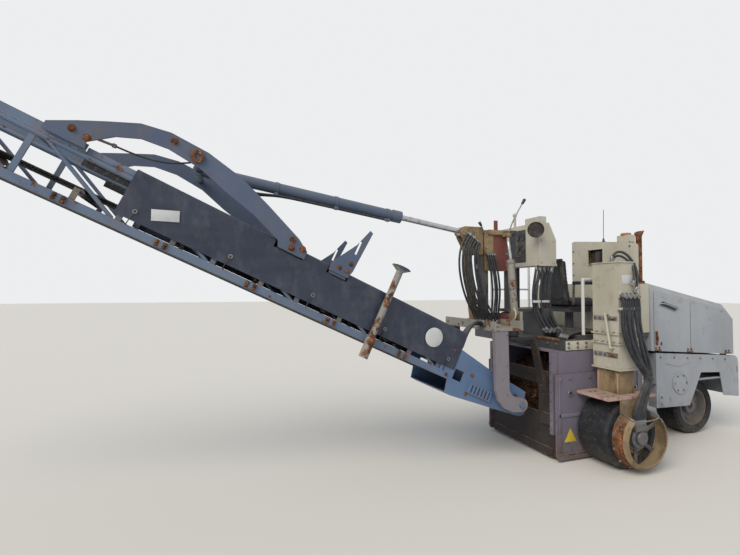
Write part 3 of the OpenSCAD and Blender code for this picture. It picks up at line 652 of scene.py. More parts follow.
def round_edges(
    part: bmesh.types.BMesh, edges: list, radius: float, segments: int = 2, clamp: bool = False
) -> None:
    """Round some edges of a primitive.

    Args:
        part: The primitive.
        edges: Its edges that are rounded.
        radius: How far back the rounding starts.
        segments: Faces across it.
        clamp: Whether it stops where it would meet another.
    """
    bmesh.ops.bevel(
        part,
        geom=edges,
        offset=radius,
        offset_type="OFFSET",
        segments=segments,
        profile=0.5,
        affect="EDGES",
        material=-1,
        clamp_overlap=clamp,
    )


def facing(axis: Point) -> Matrix:
    """Turn a shape's Z onto an axis."""
    return Vector(axis).to_track_quat("Z", "Y").to_matrix().to_4x4()


@dataclass
class Piece:
    """One new piece, drawn from operators in millimetres and put in the row frame as its last step."""

    name: str
    body: Body
    finish: Finish
    space: Matrix = field(default_factory=MACHINE.copy)
    reaches: Body | None = None
    leave: Point = (0.0, 0.0, 0.0)
    arrive: Point = (0.0, 0.0, 0.0)
    crease: float = 34.0
    mesh: bmesh.types.BMesh = field(default_factory=bmesh.new)
    coats: list[Finish] = field(default_factory=list)
    pen: int = 0

    def __post_init__(self) -> None:
        """Take the first finish as the one drawn with."""
        self.coats = [self.finish]

    def use(self, finish: Finish) -> None:
        """Draw what comes next in another finish."""
        if finish not in self.coats:
            self.coats.append(finish)
        self.pen = self.coats.index(finish)

    def join(self, part: bmesh.types.BMesh, place: Matrix | None = None) -> None:
        """Add a finished primitive to the piece.

        Args:
            part: The primitive, which is used up.
            place: Where it goes, in the piece's own millimetres.
        """
        if place is not None:
            bmesh.ops.transform(part, matrix=place, verts=part.verts)
        bmesh.ops.recalc_face_normals(part, faces=part.faces)
        for face in part.faces:
            face.material_index = self.pen
        data = bpy.data.meshes.new("part")
        part.to_mesh(data)
        part.free()
        self.mesh.from_mesh(data)
        bpy.data.meshes.remove(data)

    def block(self, low: Point, high: Point, bevel: float = 3.0, place: Matrix | None = None) -> None:
        """Add a plate or bar with rounded edges between two corners.

        Args:
            low: The lowest corner.
            high: The highest corner.
            bevel: Radius of the edges.
            place: A further turn or shift.
        """
        part = bmesh.new()
        size = [b - a for a, b in zip(low, high)]
        middle = Vector([(a + b) / 2 for a, b in zip(low, high)])
        bmesh.ops.create_cube(part, size=1.0)
        bmesh.ops.scale(part, vec=size, verts=part.verts)
        round_edges(part, part.edges[:], min(bevel, BLOCK_ROUNDING * min(size)))
        self.join(part, (place or Matrix()) @ Matrix.Translation(middle))

    def rod(
        self,
        start: Point,
        end: Point,
        radius: float,
        end_radius: float | None = None,
        sides: int = 20,
        bevel: float = 1.5,
    ) -> None:
        """Add a round bar with rounded rims between two points.

        Args:
            start: Middle of one end.
            end: Middle of the other end.
            radius: Radius at the start.
            end_radius: Radius at the end, if it tapers.
            sides: Faces around it.
            bevel: Radius of the rims.
        """
        part = bmesh.new()
        span = Vector(end) - Vector(start)
        bmesh.ops.create_cone(
            part,
            cap_ends=True,
            segments=sides,
            radius1=radius,
            radius2=radius if end_radius is None else end_radius,
            depth=span.length,
        )
        rims = [e for e in part.edges if abs(e.verts[0].co.z - e.verts[1].co.z) < LEVEL]
        if bevel:
            round_edges(part, rims, min(bevel, ROUNDING * span.length, ROUNDING * radius))
        self.join(part, Matrix.Translation((Vector(start) + Vector(end)) / 2) @ facing(span))

    def hose(self, route: list[Point], radius: float, fitting: Finish) -> None:
        """Add a hydraulic hose with a crimped ferrule and a nut at both ends.

        Args:
            route: Points that it is drawn through or towards.
            radius: Its radius.
            fitting: Finish of the metal ends.
        """
        cover = self.coats[self.pen]
        self.tube(route, radius, finest=2)
        self.use(fitting)
        for tip, inner in ((route[0], route[1]), (route[-1], route[-2])):
            along = (Vector(inner) - Vector(tip)).normalized()
            nut = Vector(tip) + along * radius * NUT_LENGTH
            self.rod(tip, tuple(nut), radius * NUT_WIDTH, sides=6)
            ferrule = nut + along * radius * FERRULE_LENGTH
            self.rod(tuple(nut), tuple(ferrule), radius * FERRULE_WIDTH, sides=14)
        self.use(cover)

    def ring(self, outline: Outline, place: Matrix, start: float, sweep: float, steps: int) -> None:
        """Spin a closed section part of the way round and close its two ends.

        Args:
            outline: Corners of the section, as radius and height, in order round it.
            place: Where the axis goes; it is the place's own Z.
            start: Angle from X at which the section starts, in degrees.
            sweep: Angle that it turns through, in degrees.
            steps: Faces along it.
        """
        part = bmesh.new()
        corners = [part.verts.new((radius, 0, height)) for radius, height in outline]
        edges = [part.edges.new(pair) for pair in zip(corners, corners[1:] + corners[:1])]
        first = Matrix.Rotation(math.radians(start), 3, "Z")
        bmesh.ops.rotate(part, verts=corners, cent=(0, 0, 0), matrix=first)
        bmesh.ops.spin(
            part,
            geom=corners + edges,
            cent=(0, 0, 0),
            axis=(0, 0, 1),
            angle=math.radians(sweep),
            steps=steps,
            use_merge=False,
        )
        bmesh.ops.holes_fill(part, edges=[e for e in part.edges if e.is_boundary], sides=0)
        self.join(part, place)

    def lathe(self, outline: Outline, origin: Point, axis: Point, steps: int = 32) -> None:
        """Spin an outline of radius and height about an axis.

        Args:
            outline: Pairs of radius and distance along the axis.
            origin: Where the axis starts.
            axis: Its direction.
            steps: Faces around it.
        """
        part = bmesh.new()
        corners = [part.verts.new((radius, 0, height)) for radius, height in outline]
        edges = [part.edges.new(pair) for pair in zip(corners, corners[1:])]
        bmesh.ops.spin(
            part,
            geom=corners + edges,
            cent=(0, 0, 0),
            axis=(0, 0, 1),
            angle=math.tau,
            steps=steps,
            use_merge=True,
        )
        bmesh.ops.remove_doubles(part, verts=part.verts, dist=0.01)
        self.join(part, Matrix.Translation(origin) @ facing(axis))

    def prism(
        self,
        outline: Outline,
        low: float,
        high: float,
        plane: str = "XZ",
        bevel: float = 2.0,
        place: Matrix | None = None,
    ) -> None:
        """Add a plate cut to an outline, with rounded edges.

        Args:
            outline: Corners in the plane, in order.
            low: Lower face along the third direction.
            high: Upper face along it.
            plane: The two letters that the outline's numbers stand for.
            bevel: Radius of the edges.
            place: A further turn or shift.
        """
        order = ["XYZ".index(letter) for letter in plane]
        third = 3 - sum(order)
        part = bmesh.new()
        corners = []
        for first, second in outline:
            spot = [0.0, 0.0, 0.0]
            spot[order[0]], spot[order[1]], spot[third] = first, second, low
            corners.append(part.verts.new(spot))
        for pair in zip(corners, corners[1:] + corners[:1]):
            part.edges.new(pair)
        bmesh.ops.contextual_create(part, geom=part.verts[:] + part.edges[:])
        raised = bmesh.ops.extrude_face_region(part, geom=part.faces[:])["geom"]
        move = [0.0, 0.0, 0.0]
        move[third] = high - low
        moved = [v for v in raised if isinstance(v, bmesh.types.BMVert)]
        bmesh.ops.translate(part, vec=move, verts=moved)
        bmesh.ops.recalc_face_normals(part, faces=part.faces)
        if bevel:
            round_edges(part, part.edges[:], min(bevel, ROUNDING * (high - low)), clamp=True)
        self.join(part, place)

    def bolt(self, point: Point, axis: Point, size: float = 13.0, washer: bool = True) -> None:
        """Add a hexagon head with its chamfer and washer.

        Args:
            point: Where it meets the plate.
            axis: Direction away from the plate.
            size: Half of its width over corners.
            washer: Whether a washer lies under it.
        """
        turn = Matrix.Translation(point) @ facing(axis)
        base = 0.0
        if washer:
            disc = bmesh.new()
            foot, top = size * WASHER_FOOT, size * WASHER_TOP
            bmesh.ops.create_cone(disc, cap_ends=True, segments=18, radius1=foot, radius2=top, depth=WASHER)
            self.join(disc, turn @ Matrix.Translation((0, 0, WASHER / 2)))
            base = WASHER
        head = bmesh.new()
        height = size * HEAD_HEIGHT
        bmesh.ops.create_cone(head, cap_ends=True, segments=6, radius1=size, radius2=size, depth=height)
        rim = [e for e in head.edges if e.verts[0].co.z > 0 and e.verts[1].co.z > 0]
        round_edges(head, rim, size * HEAD_CHAMFER)
        spin = Matrix.Rotation(noise.random() * math.tau, 4, "Z")
        self.join(head, turn @ Matrix.Translation((0, 0, base + height / 2)) @ spin)

    def bolts(self, points: list[Point], axis: Point, size: float = 13.0, washer: bool = True) -> None:
        """Add a bolt like the others at each point."""
        for point in points:
            self.bolt(point, axis, size, washer)

    def bolt_circle(
        self, middle: Point, radius: float, count: int, side: int, size: float, washer: bool = True
    ) -> None:
        """Add bolts on a circle that faces sideways.

        Args:
            middle: Middle of the circle.
            radius: Its radius.
            count: Number of bolts, the first one toward the front.
            side: Way that they point along Y.
            size: Half of their width over corners.
            washer: Whether they have washers.
        """
        x, y, z = middle
        for number in range(count):
            turn = number * math.tau / count
            spot = (x + radius * math.cos(turn), y, z + radius * math.sin(turn))
            self.bolt(spot, (0, side, 0), size, washer)

    def tube(self, route: list[Point], radius: float, finest: int = 3, smooth: bool = True) -> None:
        """Add a hose, cable or bent bar that follows a smooth curve.

        Args:
            route: Points that it is drawn through or towards.
            radius: Its radius.
            finest: Rounds of the section, from 1 to 4.
            smooth: Whether it bends smoothly between the points.
        """
        curve = bpy.data.curves.new("route", "CURVE")
        curve.dimensions = "3D"
        curve.bevel_depth = radius
        curve.bevel_resolution = finest
        curve.use_fill_caps = True
        curve.resolution_u = 5
        spline = curve.splines.new("NURBS" if smooth else "POLY")
        spline.points.add(len(route) - 1)
        for knot, spot in zip(spline.points, route):
            knot.co = (*spot, 1.0)
        spline.order_u = min(4, len(route))
        spline.use_endpoint_u = True
        holder = bpy.data.objects.new("route", curve)
        data = bpy.data.meshes.new_from_object(holder)
        part = bmesh.new()
        part.from_mesh(data)
        bpy.data.objects.remove(holder)
        bpy.data.curves.remove(curve)
        bpy.data.meshes.remove(data)
        bmesh.ops.remove_doubles(part, verts=part.verts, dist=SAME_POINT)
        self.join(part)

    def done(self) -> bpy.types.Object:
        """Place the piece in the row frame, dress it and let it ride on its body, unless it reaches another
        body, when it is left unattached.

        Returns:
            The finished object.
        """
        bmesh.ops.transform(self.mesh, matrix=self.space, verts=self.mesh.verts)
        bmesh.ops.recalc_face_normals(self.mesh, faces=self.mesh.faces)
        data = bpy.data.meshes.new(self.name)
        self.mesh.to_mesh(data)
        self.mesh.free()
        data.polygons.foreach_set("use_smooth", [True] * len(data.polygons))
        data.set_sharp_from_angle(angle=math.radians(self.crease))
        for coat in self.coats:
            data.materials.append(coat.material())
        made = bpy.data.objects.new(self.name, data)
        bpy.context.scene.collection.objects.link(made)
        if self.reaches is None:
            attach(made, self.body.value)
        else:
            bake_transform(made)
        LOG.info("%s: %d faces on %s", self.name, len(data.polygons), self.body.value)
        return made


def wander(seed: float, reach: float) -> Vector:
    """Give a small shift that is the same in every run.

    Args:
        seed: A number that picks the shift.
        reach: Its greatest length.

    Returns:
        The shift.
    """
    return noise.noise_vector(Vector((seed * 3.17, seed * 1.31, 5.7))) * reach


@dataclass
class ConveyorCover:
    """The coated cloth over the conveyor's lower half, laced down along its hems."""

    start: float = 760.0
    end: float = 3760.0
    side: float = 361.5
    hem: float = 78.0
    fold: float = 392.0
    sag: float = 30.0
    corner: float = 14.0
    half_length: float = 712.0
    thickness: float = 1.4
    feet: tuple[tuple[float, float], ...] = ((2424.0, 2668.0), (2014.0, 2196.0))
    foot_low: float = 322.0
    foot_high: float = 384.0
    foot_inside: float = 300.0
    lace_pitch: float = 720.0
    ease: float = 2.5
    wrinkle: float = 7.0
    ripple: float = 9.0
    columns: int = 300
    rows: int = 96
    area: float = field(init=False, default=0.0)

    def build(self) -> None:
        """Make the sheet, its grommets, its laces and its blank disc and plate."""
        sheet = self.make_sheet()
        laces = self.make_laces()
        marks = self.make_marks()

    def section(self, along: float) -> tuple[float, float]:
        """Give Y and height of the cloth at a distance round its section.

        Args:
            along: Distance from the middle of the top, negative on the right.

        Returns:
            Y and height above the conveyor's middle line.
        """
        flat = self.side - self.corner
        arc = self.corner * math.pi / 2
        far = abs(along)
        if far < flat:
            drop = self.sag * (1 - (far / flat) ** 2) ** 1.5
            return along, self.fold - drop
        turn = math.pi / 2 * min((far - flat) / arc, 1.0)
        y = flat + self.corner * math.sin(turn)
        height = self.fold - self.corner * (1 - math.cos(turn))
        return math.copysign(y, along), height - max(far - flat - arc, 0.0)

    def make_sheet(self) -> bpy.types.Object:
        """Lay a grid over the section, with folds pulled toward the laces."""
        piece = Piece("conveyor_cover_sheet", Body.CONVEYOR, Finishes.vinyl, CONVEYOR.copy(), crease=60.0)
        grid = bmesh.new()
        bmesh.ops.create_grid(grid, x_segments=self.columns, y_segments=self.rows, size=0.5)
        for corner in grid.verts:
            across = corner.co.y * 2
            u = self.start + (corner.co.x + 0.5) * (self.end - self.start)
            y, v = self.section(across * self.half_length)
            corner.co = (u, y, v)
        notches = []
        for face in grid.faces:
            u, y, v = face.calc_center_median()
            beside = abs(y) > self.foot_inside and self.foot_low < v < self.foot_high
            if beside and any(low < u < high for low, high in self.feet):
                notches.append(face)
        bmesh.ops.delete(grid, geom=notches, context="FACES")
        self.area = sum(face.calc_area() for face in grid.faces) / 1e6
        for corner in grid.verts:
            corner.co += self.fold_shift(corner.co)
        grid.normal_update()
        bmesh.ops.solidify(grid, geom=grid.faces[:], thickness=self.thickness)
        piece.join(grid)
        made = piece.done()
        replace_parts(made, "cover")
        return made

    def fold_shift(self, at: Vector) -> Vector:
        """Give the wrinkles at a point of the flat-sided cloth.

        Args:
            at: The point, in conveyor millimetres.

        Returns:
            How far the wrinkles move it.
        """
        slack = math.sin(math.pi * (at.x - self.start) / self.lace_pitch) ** 2
        slant = at.x * 0.55 + (at.z if at.y < 0 else -at.z)
        broad = noise.noise(Vector((slant / 120, at.x / 900, 3.1)))
        small = noise.noise(Vector((slant / 46, at.z / 160, 7.7)))
        ridge = broad + 0.5 * small
        if abs(at.y) > self.side - 3:
            out = self.ease + self.wrinkle * max(ridge + 0.25, 0) * (0.4 + 0.6 * slack)
            return Vector((0, math.copysign(min(out, self.ease + self.wrinkle), at.y), 0))
        pull = noise.noise(Vector((at.x / 170 + at.y / 400, at.y / 260, 1.7)))
        return Vector((0, 0, self.ripple * pull * (1 - (at.y / self.side) ** 2)))

    def make_laces(self) -> bpy.types.Object:
        """Tie short black cords from grommets in the hem down to the lower chord."""
        piece = Piece("cover_laces", Body.CONVEYOR, Finishes.zinc, CONVEYOR.copy())
        for sign in (-1, 1):
            for u in (858, 1530, 2220, 2923, 3643):
                at = sign * (self.side + 9)
                piece.use(Finishes.zinc)
                rim = [(9, 0), (17, 0), (17, 2.4), (9, 2.4), (9, 0)]
                piece.lathe(rim, (u, at, self.hem + 26), (0, sign, 0), 20)
                piece.use(Finishes.hose)
                route = [(u, at - sign * 6, self.hem + 26), (u + 4, at + sign * 6, self.hem + 10)]
                route += [(u + 12, sign * 372, 20), (u + 14, sign * 372, -2), (u + 10, sign * 366, -6)]
                piece.tube(route, 4, 1)
        return piece.done()

    def make_marks(self) -> bpy.types.Object:
        """Stick a blank white disc and a blank plate on the right side."""
        piece = Piece("cover_blank_marks", Body.CONVEYOR, Finishes.white_plate, CONVEYOR.copy())
        disc = [(0, 0), (84, 0), (86, 1), (84, 2.2), (0, 2.2)]
        piece.lathe(disc, (1071, -self.side - 11, 223), (0, -1, 0), 48)
        tilt = Matrix.Translation((3454, 0, 170)) @ Matrix.Rotation(0.42, 4, "Y")
        piece.block((-95, -self.side - 13, -42), (95, -self.side - 11, 42), 0.8, tilt)
        return piece.done()


@dataclass
class ConveyorDetails:
    """Side boards, bolts, tie cable and hoses along the conveyor."""

    plate_face: float = 390.0
    channel_face: float = 369.0
    board_middle: float = 339.0
    joints: range = range(1250, 7000, 700)

    def build(self) -> None:
        """Make every piece."""
        self.make_boards()
        self.make_bolts()
        self.make_cable()
        self.make_cylinder_hoses()

    def make_boards(self) -> None:
        """Carry the side boards down under the cover, with a black rubber strip inside each that reaches
        below it.
        """
        piece = Piece("lower_side_boards", Body.CONVEYOR, Finishes.conveyor_blue, CONVEYOR.copy())
        for sign in (-1, 1):
            inner, outer = sorted((sign * (self.board_middle - 6), sign * (self.board_middle + 6)))
            for low, high in ((912, 2010), (2200, 2420), (2672, 4096)):
                piece.use(Finishes.conveyor_blue)
                piece.block((low, inner, 328.5), (high, outer, 374), 2)
                piece.use(Finishes.belt)
                skirt = sorted((sign * (self.board_middle - 14), sign * (self.board_middle - 7)))
                piece.block((low + 6, skirt[0], 240), (high - 6, skirt[1], 372), 2)
        piece.done()

    def make_bolts(self) -> None:
        """Put bolts on the arches, the prop's bracket, the tail's cheeks and the chord's joints."""
        piece = Piece("conveyor_bolts", Body.CONVEYOR, Finishes.rusty_plate, CONVEYOR.copy())
        arch = ((2556, 431), (2455, 400), (4226, 435), (4120, 420), (3634, 690), (2540, 370))
        bracket = ((2050, 400), (2120, 400), (2040, 470))
        tail = ((40, 60), (160, 96), (300, 60), (560, 60), (560, -120), (820, 200), (820, -30))
        for sign in (-1, 1):
            out = (0, sign, 0)
            piece.bolts([(u, sign * self.plate_face, v) for u, v in arch], out, 19)
            piece.bolts([(u, sign * 386, v) for u, v in bracket], out, 14)
            joint = [(u + shift, v) for u in self.joints for v in (-22, -46) for shift in (14, 74)]
            piece.bolts([(u, sign * self.channel_face, v) for u, v in joint], out, 11)
            piece.bolts([(u, sign * 360, v) for u, v in tail], out, 12)
            ring = [(22, 0), (46, 0), (48, 2), (48, 12), (46, 14), (22, 14), (22, 0)]
            piece.lathe(ring, (3450, sign * 404, 667), out, 32)
        # Splice plates over the lower channel's joints.
        piece.use(Finishes.conveyor_blue)
        for sign in (-1, 1):
            inner, outer = sorted((sign * 360.4, sign * self.channel_face))
            for u in self.joints:
                piece.block((u, inner, -60), (u + 88, outer, -8), 2)
        piece.done()

    def make_cable(self) -> None:
        """Hang the tie cable with its shackle and turnbuckle inside the right arch."""
        piece = Piece("arch_tie_cable", Body.CONVEYOR, Finishes.zinc, CONVEYOR.copy(), crease=50.0)
        y = -322
        hoop = [(4360, y, 400), (4330, y, 452), (4270, y - 3, 470), (4215, y, 446), (4226, y, 402)]
        piece.tube(hoop, 11, 2)
        piece.rod((4210, y, 440), (4150, y, 448), 16)
        for bar in (y - 17, y + 17):
            piece.rod((4150, bar, 450), (3980, bar, 470), 6)
        piece.rod((3986, y, 469), (3960, y, 472), 16)
        piece.use(Finishes.hose)
        piece.tube([(3965, y, 471), (3840, y, 478), (3700, y, 500), (3560, y, 560), (3470, y, 630)], 7, 2)
        piece.done()

    def make_cylinder_hoses(self) -> None:
        """Run two hoses with a slack loop along the lift cylinder's barrel."""
        start = CONVEYOR @ Vector((3450, 0, 667))
        end = MACHINE @ Vector((-1265, 0, 2210))
        span = end - start
        turn = span.to_track_quat("X", "Z").to_matrix().to_4x4()
        space = Matrix.Translation(start) @ turn @ Matrix.Scale(0.001, 4)
        piece = Piece("lift_cylinder_hoses", Body.LIFT_CYLINDER, Finishes.hose, space)
        for y, depth in ((-62, 0), (-40, 16)):
            loop = [(140, y, -40), (260, y - 6, -80 - depth), (430, y - 8, -112 - depth), (620, y, -70)]
            loop += [(900, y * 0.7, -64), (1250, y * 0.6, -62), (1700, y * 0.5, -60)]
            piece.hose(loop, 9, Finishes.zinc)
        piece.use(Finishes.barrel_paint)
        for x in (640, 1180, 1690):
            band = Matrix.Translation((x, 0, 0)) @ Matrix.Rotation(math.pi / 2, 4, "Y")
            piece.ring([(51, -16), (55, -16), (55, 16), (51, 16)], band, 0, 359, 32)
            piece.block((x - 16, -66, -76), (x + 16, -20, -50), 3)
        piece.done()


@dataclass
class Hood:
    """The sheet-metal hood with long bevels, louvred front, handle recess and latch."""

    right: float = -520.0
    left: float = 1060.0
    rear: float = 670.0
    front: float = 1950.0
    rear_low: float = 990.0
    rear_high: float = 1700.0
    fold: tuple[float, float] = (1860.0, 1458.0)
    front_high: float = 1372.0
    front_low: float = 896.0
    edge_slope: float = 0.0734
    roof_slope: float = 0.2034
    bevel: float = 62.0
    wall: float = 6.0

    def build(self) -> None:
        """Make the shell, its front blades and its fittings."""
        shell = self.make_shell()
        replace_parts(shell, "hood")
        self.make_fittings()

    def make_shell(self) -> bpy.types.Object:
        """Bevel the top edges of the hood's block, open it below and give the sheet its thickness."""
        piece = Piece("hood_shell", Body.HOOD, Finishes.cream_in_sky_shade, crease=24.0)
        part = bmesh.new()
        outline = [(self.rear, self.rear_low), (self.rear, self.rear_high), self.fold]
        outline += [(self.front, self.front_high), (self.front, self.front_low)]
        corners = [part.verts.new((x, self.right, z)) for x, z in outline]
        for pair in zip(corners, corners[1:] + corners[:1]):
            part.edges.new(pair)
        bmesh.ops.contextual_create(part, geom=part.verts[:] + part.edges[:])
        raised = bmesh.ops.extrude_face_region(part, geom=part.faces[:])["geom"]
        moved = [v for v in raised if isinstance(v, bmesh.types.BMVert)]
        bmesh.ops.translate(part, vec=(0, self.left - self.right, 0), verts=moved)
        bmesh.ops.recalc_face_normals(part, faces=part.faces)
        along = [e for e in part.edges if abs(e.verts[0].co.y - e.verts[1].co.y) < 1]
        ridge = [e for e in along if min(v.co.z for v in e.verts) > self.front_high - 1]
        round_edges(part, ridge, self.bevel, segments=1)
        floor = [f for f in part.faces if f.normal.z < -0.9]
        bmesh.ops.delete(part, geom=floor, context="FACES")
        folds = [e for e in part.edges if len(e.link_faces) == 2 and e.calc_face_angle(0) > 0.2]
        round_edges(part, folds, 5)
        bmesh.ops.solidify(part, geom=part.faces[:], thickness=self.wall)
        piece.join(part)
        # Rolled lips along the lower edges, and two inner ribs.
        slope = math.atan2(self.rear_low - self.front_low, self.front - self.rear)
        for y in (self.right + 9, self.left - 31):
            lip = Matrix.Translation((self.rear + 8, 0, 992)) @ Matrix.Rotation(slope, 4, "Y")
            piece.block((0, y, 0), (1270, y + 22, 5), 2, lip)
        for x in (1080, 1500):
            piece.block((x, self.right + 12, 1050), (x + 40, self.right + 34, 1380), 3)
            piece.block((x, self.left - 34, 1050), (x + 40, self.left - 12, 1380), 3)
        return piece.done()

    def make_fittings(self) -> None:
        """Add the door seams, the handle recess as a black plate of painted shade, the latch, hinges and the
        front blades over a black sheet of painted shade.
        """
        piece = Piece("hood_fittings", Body.HOOD, Finishes.black_plastic)
        face = self.right
        for x0, x1, z0, z1 in ((712, 716, 1010, 1600), (1256, 1260, 980, 1490)):
            piece.block((x0, face - 1.6, z0), (x1, face + 1, z1), 0.5)
        # The handle recess is a black plate on the flat face: painted shade of the recess.
        painted_recess_shade = [(791, 1464), (836, 1501), (1072, 1429), (1026, 1397)]
        piece.prism(painted_recess_shade, face - 2.0, face + 1.0, "XZ", 0.6)
        piece.use(Finishes.cream_in_sky_shade)
        grip = [(812, face - 8, 1474), (836, face - 12, 1492), (940, face - 12, 1462), (1050, face - 8, 1420)]
        piece.tube(grip, 6, 2)
        frame_line = [(788, 1463), (836, 1505), (1077, 1430), (1026, 1393), (788, 1463)]
        piece.tube([(x, face - 3, z) for x, z in frame_line], 4, 1, smooth=False)
        piece.use(Finishes.rusty_plate)
        piece.block((731, face - 14, 1048), (757, face - 2, 1190), 3)
        piece.block((738, face - 26, 1090), (750, face - 12, 1140), 3)
        piece.block((806, face - 9, 1040), (820, face - 1, 1074), 2)
        for x in (760, 1235, 1840):
            z = self.rear_low - (x - self.rear) * self.edge_slope
            piece.rod((x - 40, face - 8, z + 10), (x + 40, face - 8, z + 10), 8, sides=14)
            piece.bolts([(x + shift, face - 1, z + 34) for shift in (-26, 26)], (0, -1, 0), 7)
        piece.use(Finishes.cream_in_sky_shade)
        for side, at in ((-1, face - 1), (1, self.left + 1)):
            for x in (1520, 1760):
                top = self.rear_high - (x - self.rear) * self.roof_slope
                piece.bolt((x, at, top - 90), (0, side, 0), 8)
        # Louvre blades over the front face.
        for row in range(9):
            z = 962 + row * 44
            tilt = Matrix.Translation((self.front + 1, 270, z)) @ Matrix.Rotation(0.6, 4, "Y")
            piece.block((-3, -360, 0), (3, 360, 30), 2, tilt)
        # A black sheet on the solid front behind the blades: painted shade of the gaps between them.
        piece.use(Finishes.black_plastic)
        piece.block((self.front - 2, -96, 948), (self.front + 1.2, 636, 1350), 1)
        piece.done()


@dataclass
class Seat:
    """The operator's seat: vinyl cushion and back, arm pads on steel arms."""

    voxel: float = 0.006
    fine: float = 0.8
    thin: float = 15.0
    pressure: float = 4.0
    steps: int = 20
    cap: float = 0.022
    thin_cap: float = 0.006

    def build(self) -> None:
        """Make the pads and their frames."""
        back_place = Matrix.Translation((66, 0, 1452)) @ Matrix.Rotation(math.radians(-8), 4, "Y")
        cushion = self.make_pad("seat_cushion", (48, -98, 1440), (408, 278, 1516), None, 26)
        self.make_pad("seat_back", (-68, -96, 36), (-16, 276, 508), back_place, 26)
        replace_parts(cushion, "seat")
        for name, y in (("seat_arm_pad_right", -165), ("seat_arm_pad_left", 298)):
            self.make_pad(name, (16, y + 5, 1690), (312, y + 42, 1716), None, 10)
        self.make_frames(back_place)

    def make_pad(
        self, name: str, low: Point, high: Point, place: Matrix | None, bevel: float
    ) -> bpy.types.Object:
        """Blow up a rounded block of cloth into a pad.

        Args:
            name: The piece's name.
            low: Lowest corner of the slack pad.
            high: Highest corner.
            place: A further turn or shift.
            bevel: Radius of its edges.

        Returns:
            The finished pad.
        """
        piece = Piece(name, Body.CHASSIS, Finishes.seat, crease=70.0)
        piece.block(low, high, bevel, place)
        made = piece.done()
        remesh = made.modifiers.new("voxels", "REMESH")
        remesh.mode = "VOXEL"
        remesh.voxel_size = self.voxel if bevel > self.thin else self.voxel * self.fine
        self.apply(made)
        rest = [corner.co.copy() for corner in made.data.vertices]
        cloth = made.modifiers.new("filling", "CLOTH")
        cloth.settings.use_pressure = True
        cloth.settings.uniform_pressure_force = self.pressure
        cloth.settings.effector_weights.gravity = 0.0
        cloth.settings.quality = 5
        cloth.point_cache.frame_start = 1
        cloth.point_cache.frame_end = self.steps
        for step in range(1, self.steps + 1):
            bpy.context.scene.frame_set(step)
        self.apply(made)
        bpy.context.scene.frame_set(1)
        reach = self.cap if bevel > self.thin else self.thin_cap
        for corner, before in zip(made.data.vertices, rest):
            shift = corner.co - before
            if shift.length > reach:
                corner.co = before + shift * (reach / shift.length)
        made.data.polygons.foreach_set("use_smooth", [True] * len(made.data.polygons))
        return made

    def apply(self, made: bpy.types.Object) -> None:
        """Turn the piece's modifiers into its mesh."""
        graph = bpy.context.evaluated_depsgraph_get()
        data = bpy.data.meshes.new_from_object(made.evaluated_get(graph))
        made.modifiers.clear()
        before = made.data
        made.data = data
        bpy.data.meshes.remove(before)
        if not made.data.materials:
            made.data.materials.append(Finishes.seat.material())

    def make_frames(self, back_place: Matrix) -> None:
        """Add the back's moulded shell, the pan under the cushion and the arms."""
        piece = Piece("seat_frames", Body.CHASSIS, Finishes.black_plastic)
        piece.block((-84, -100, 20), (-72, 280, 524), 5, back_place)
        piece.block((34, -108, 1426), (420, 288, 1438), 4)
        for y in (-141, 321):
            inner = -112 if y < 0 else 292
            piece.tube([(40, inner, 1462), (26, y, 1462), (22, y, 1490), (26, y, 1640), (34, y, 1684)], 12, 2)
            piece.block((20, y - 20, 1680), (306, y + 20, 1690), 3)
        piece.done()


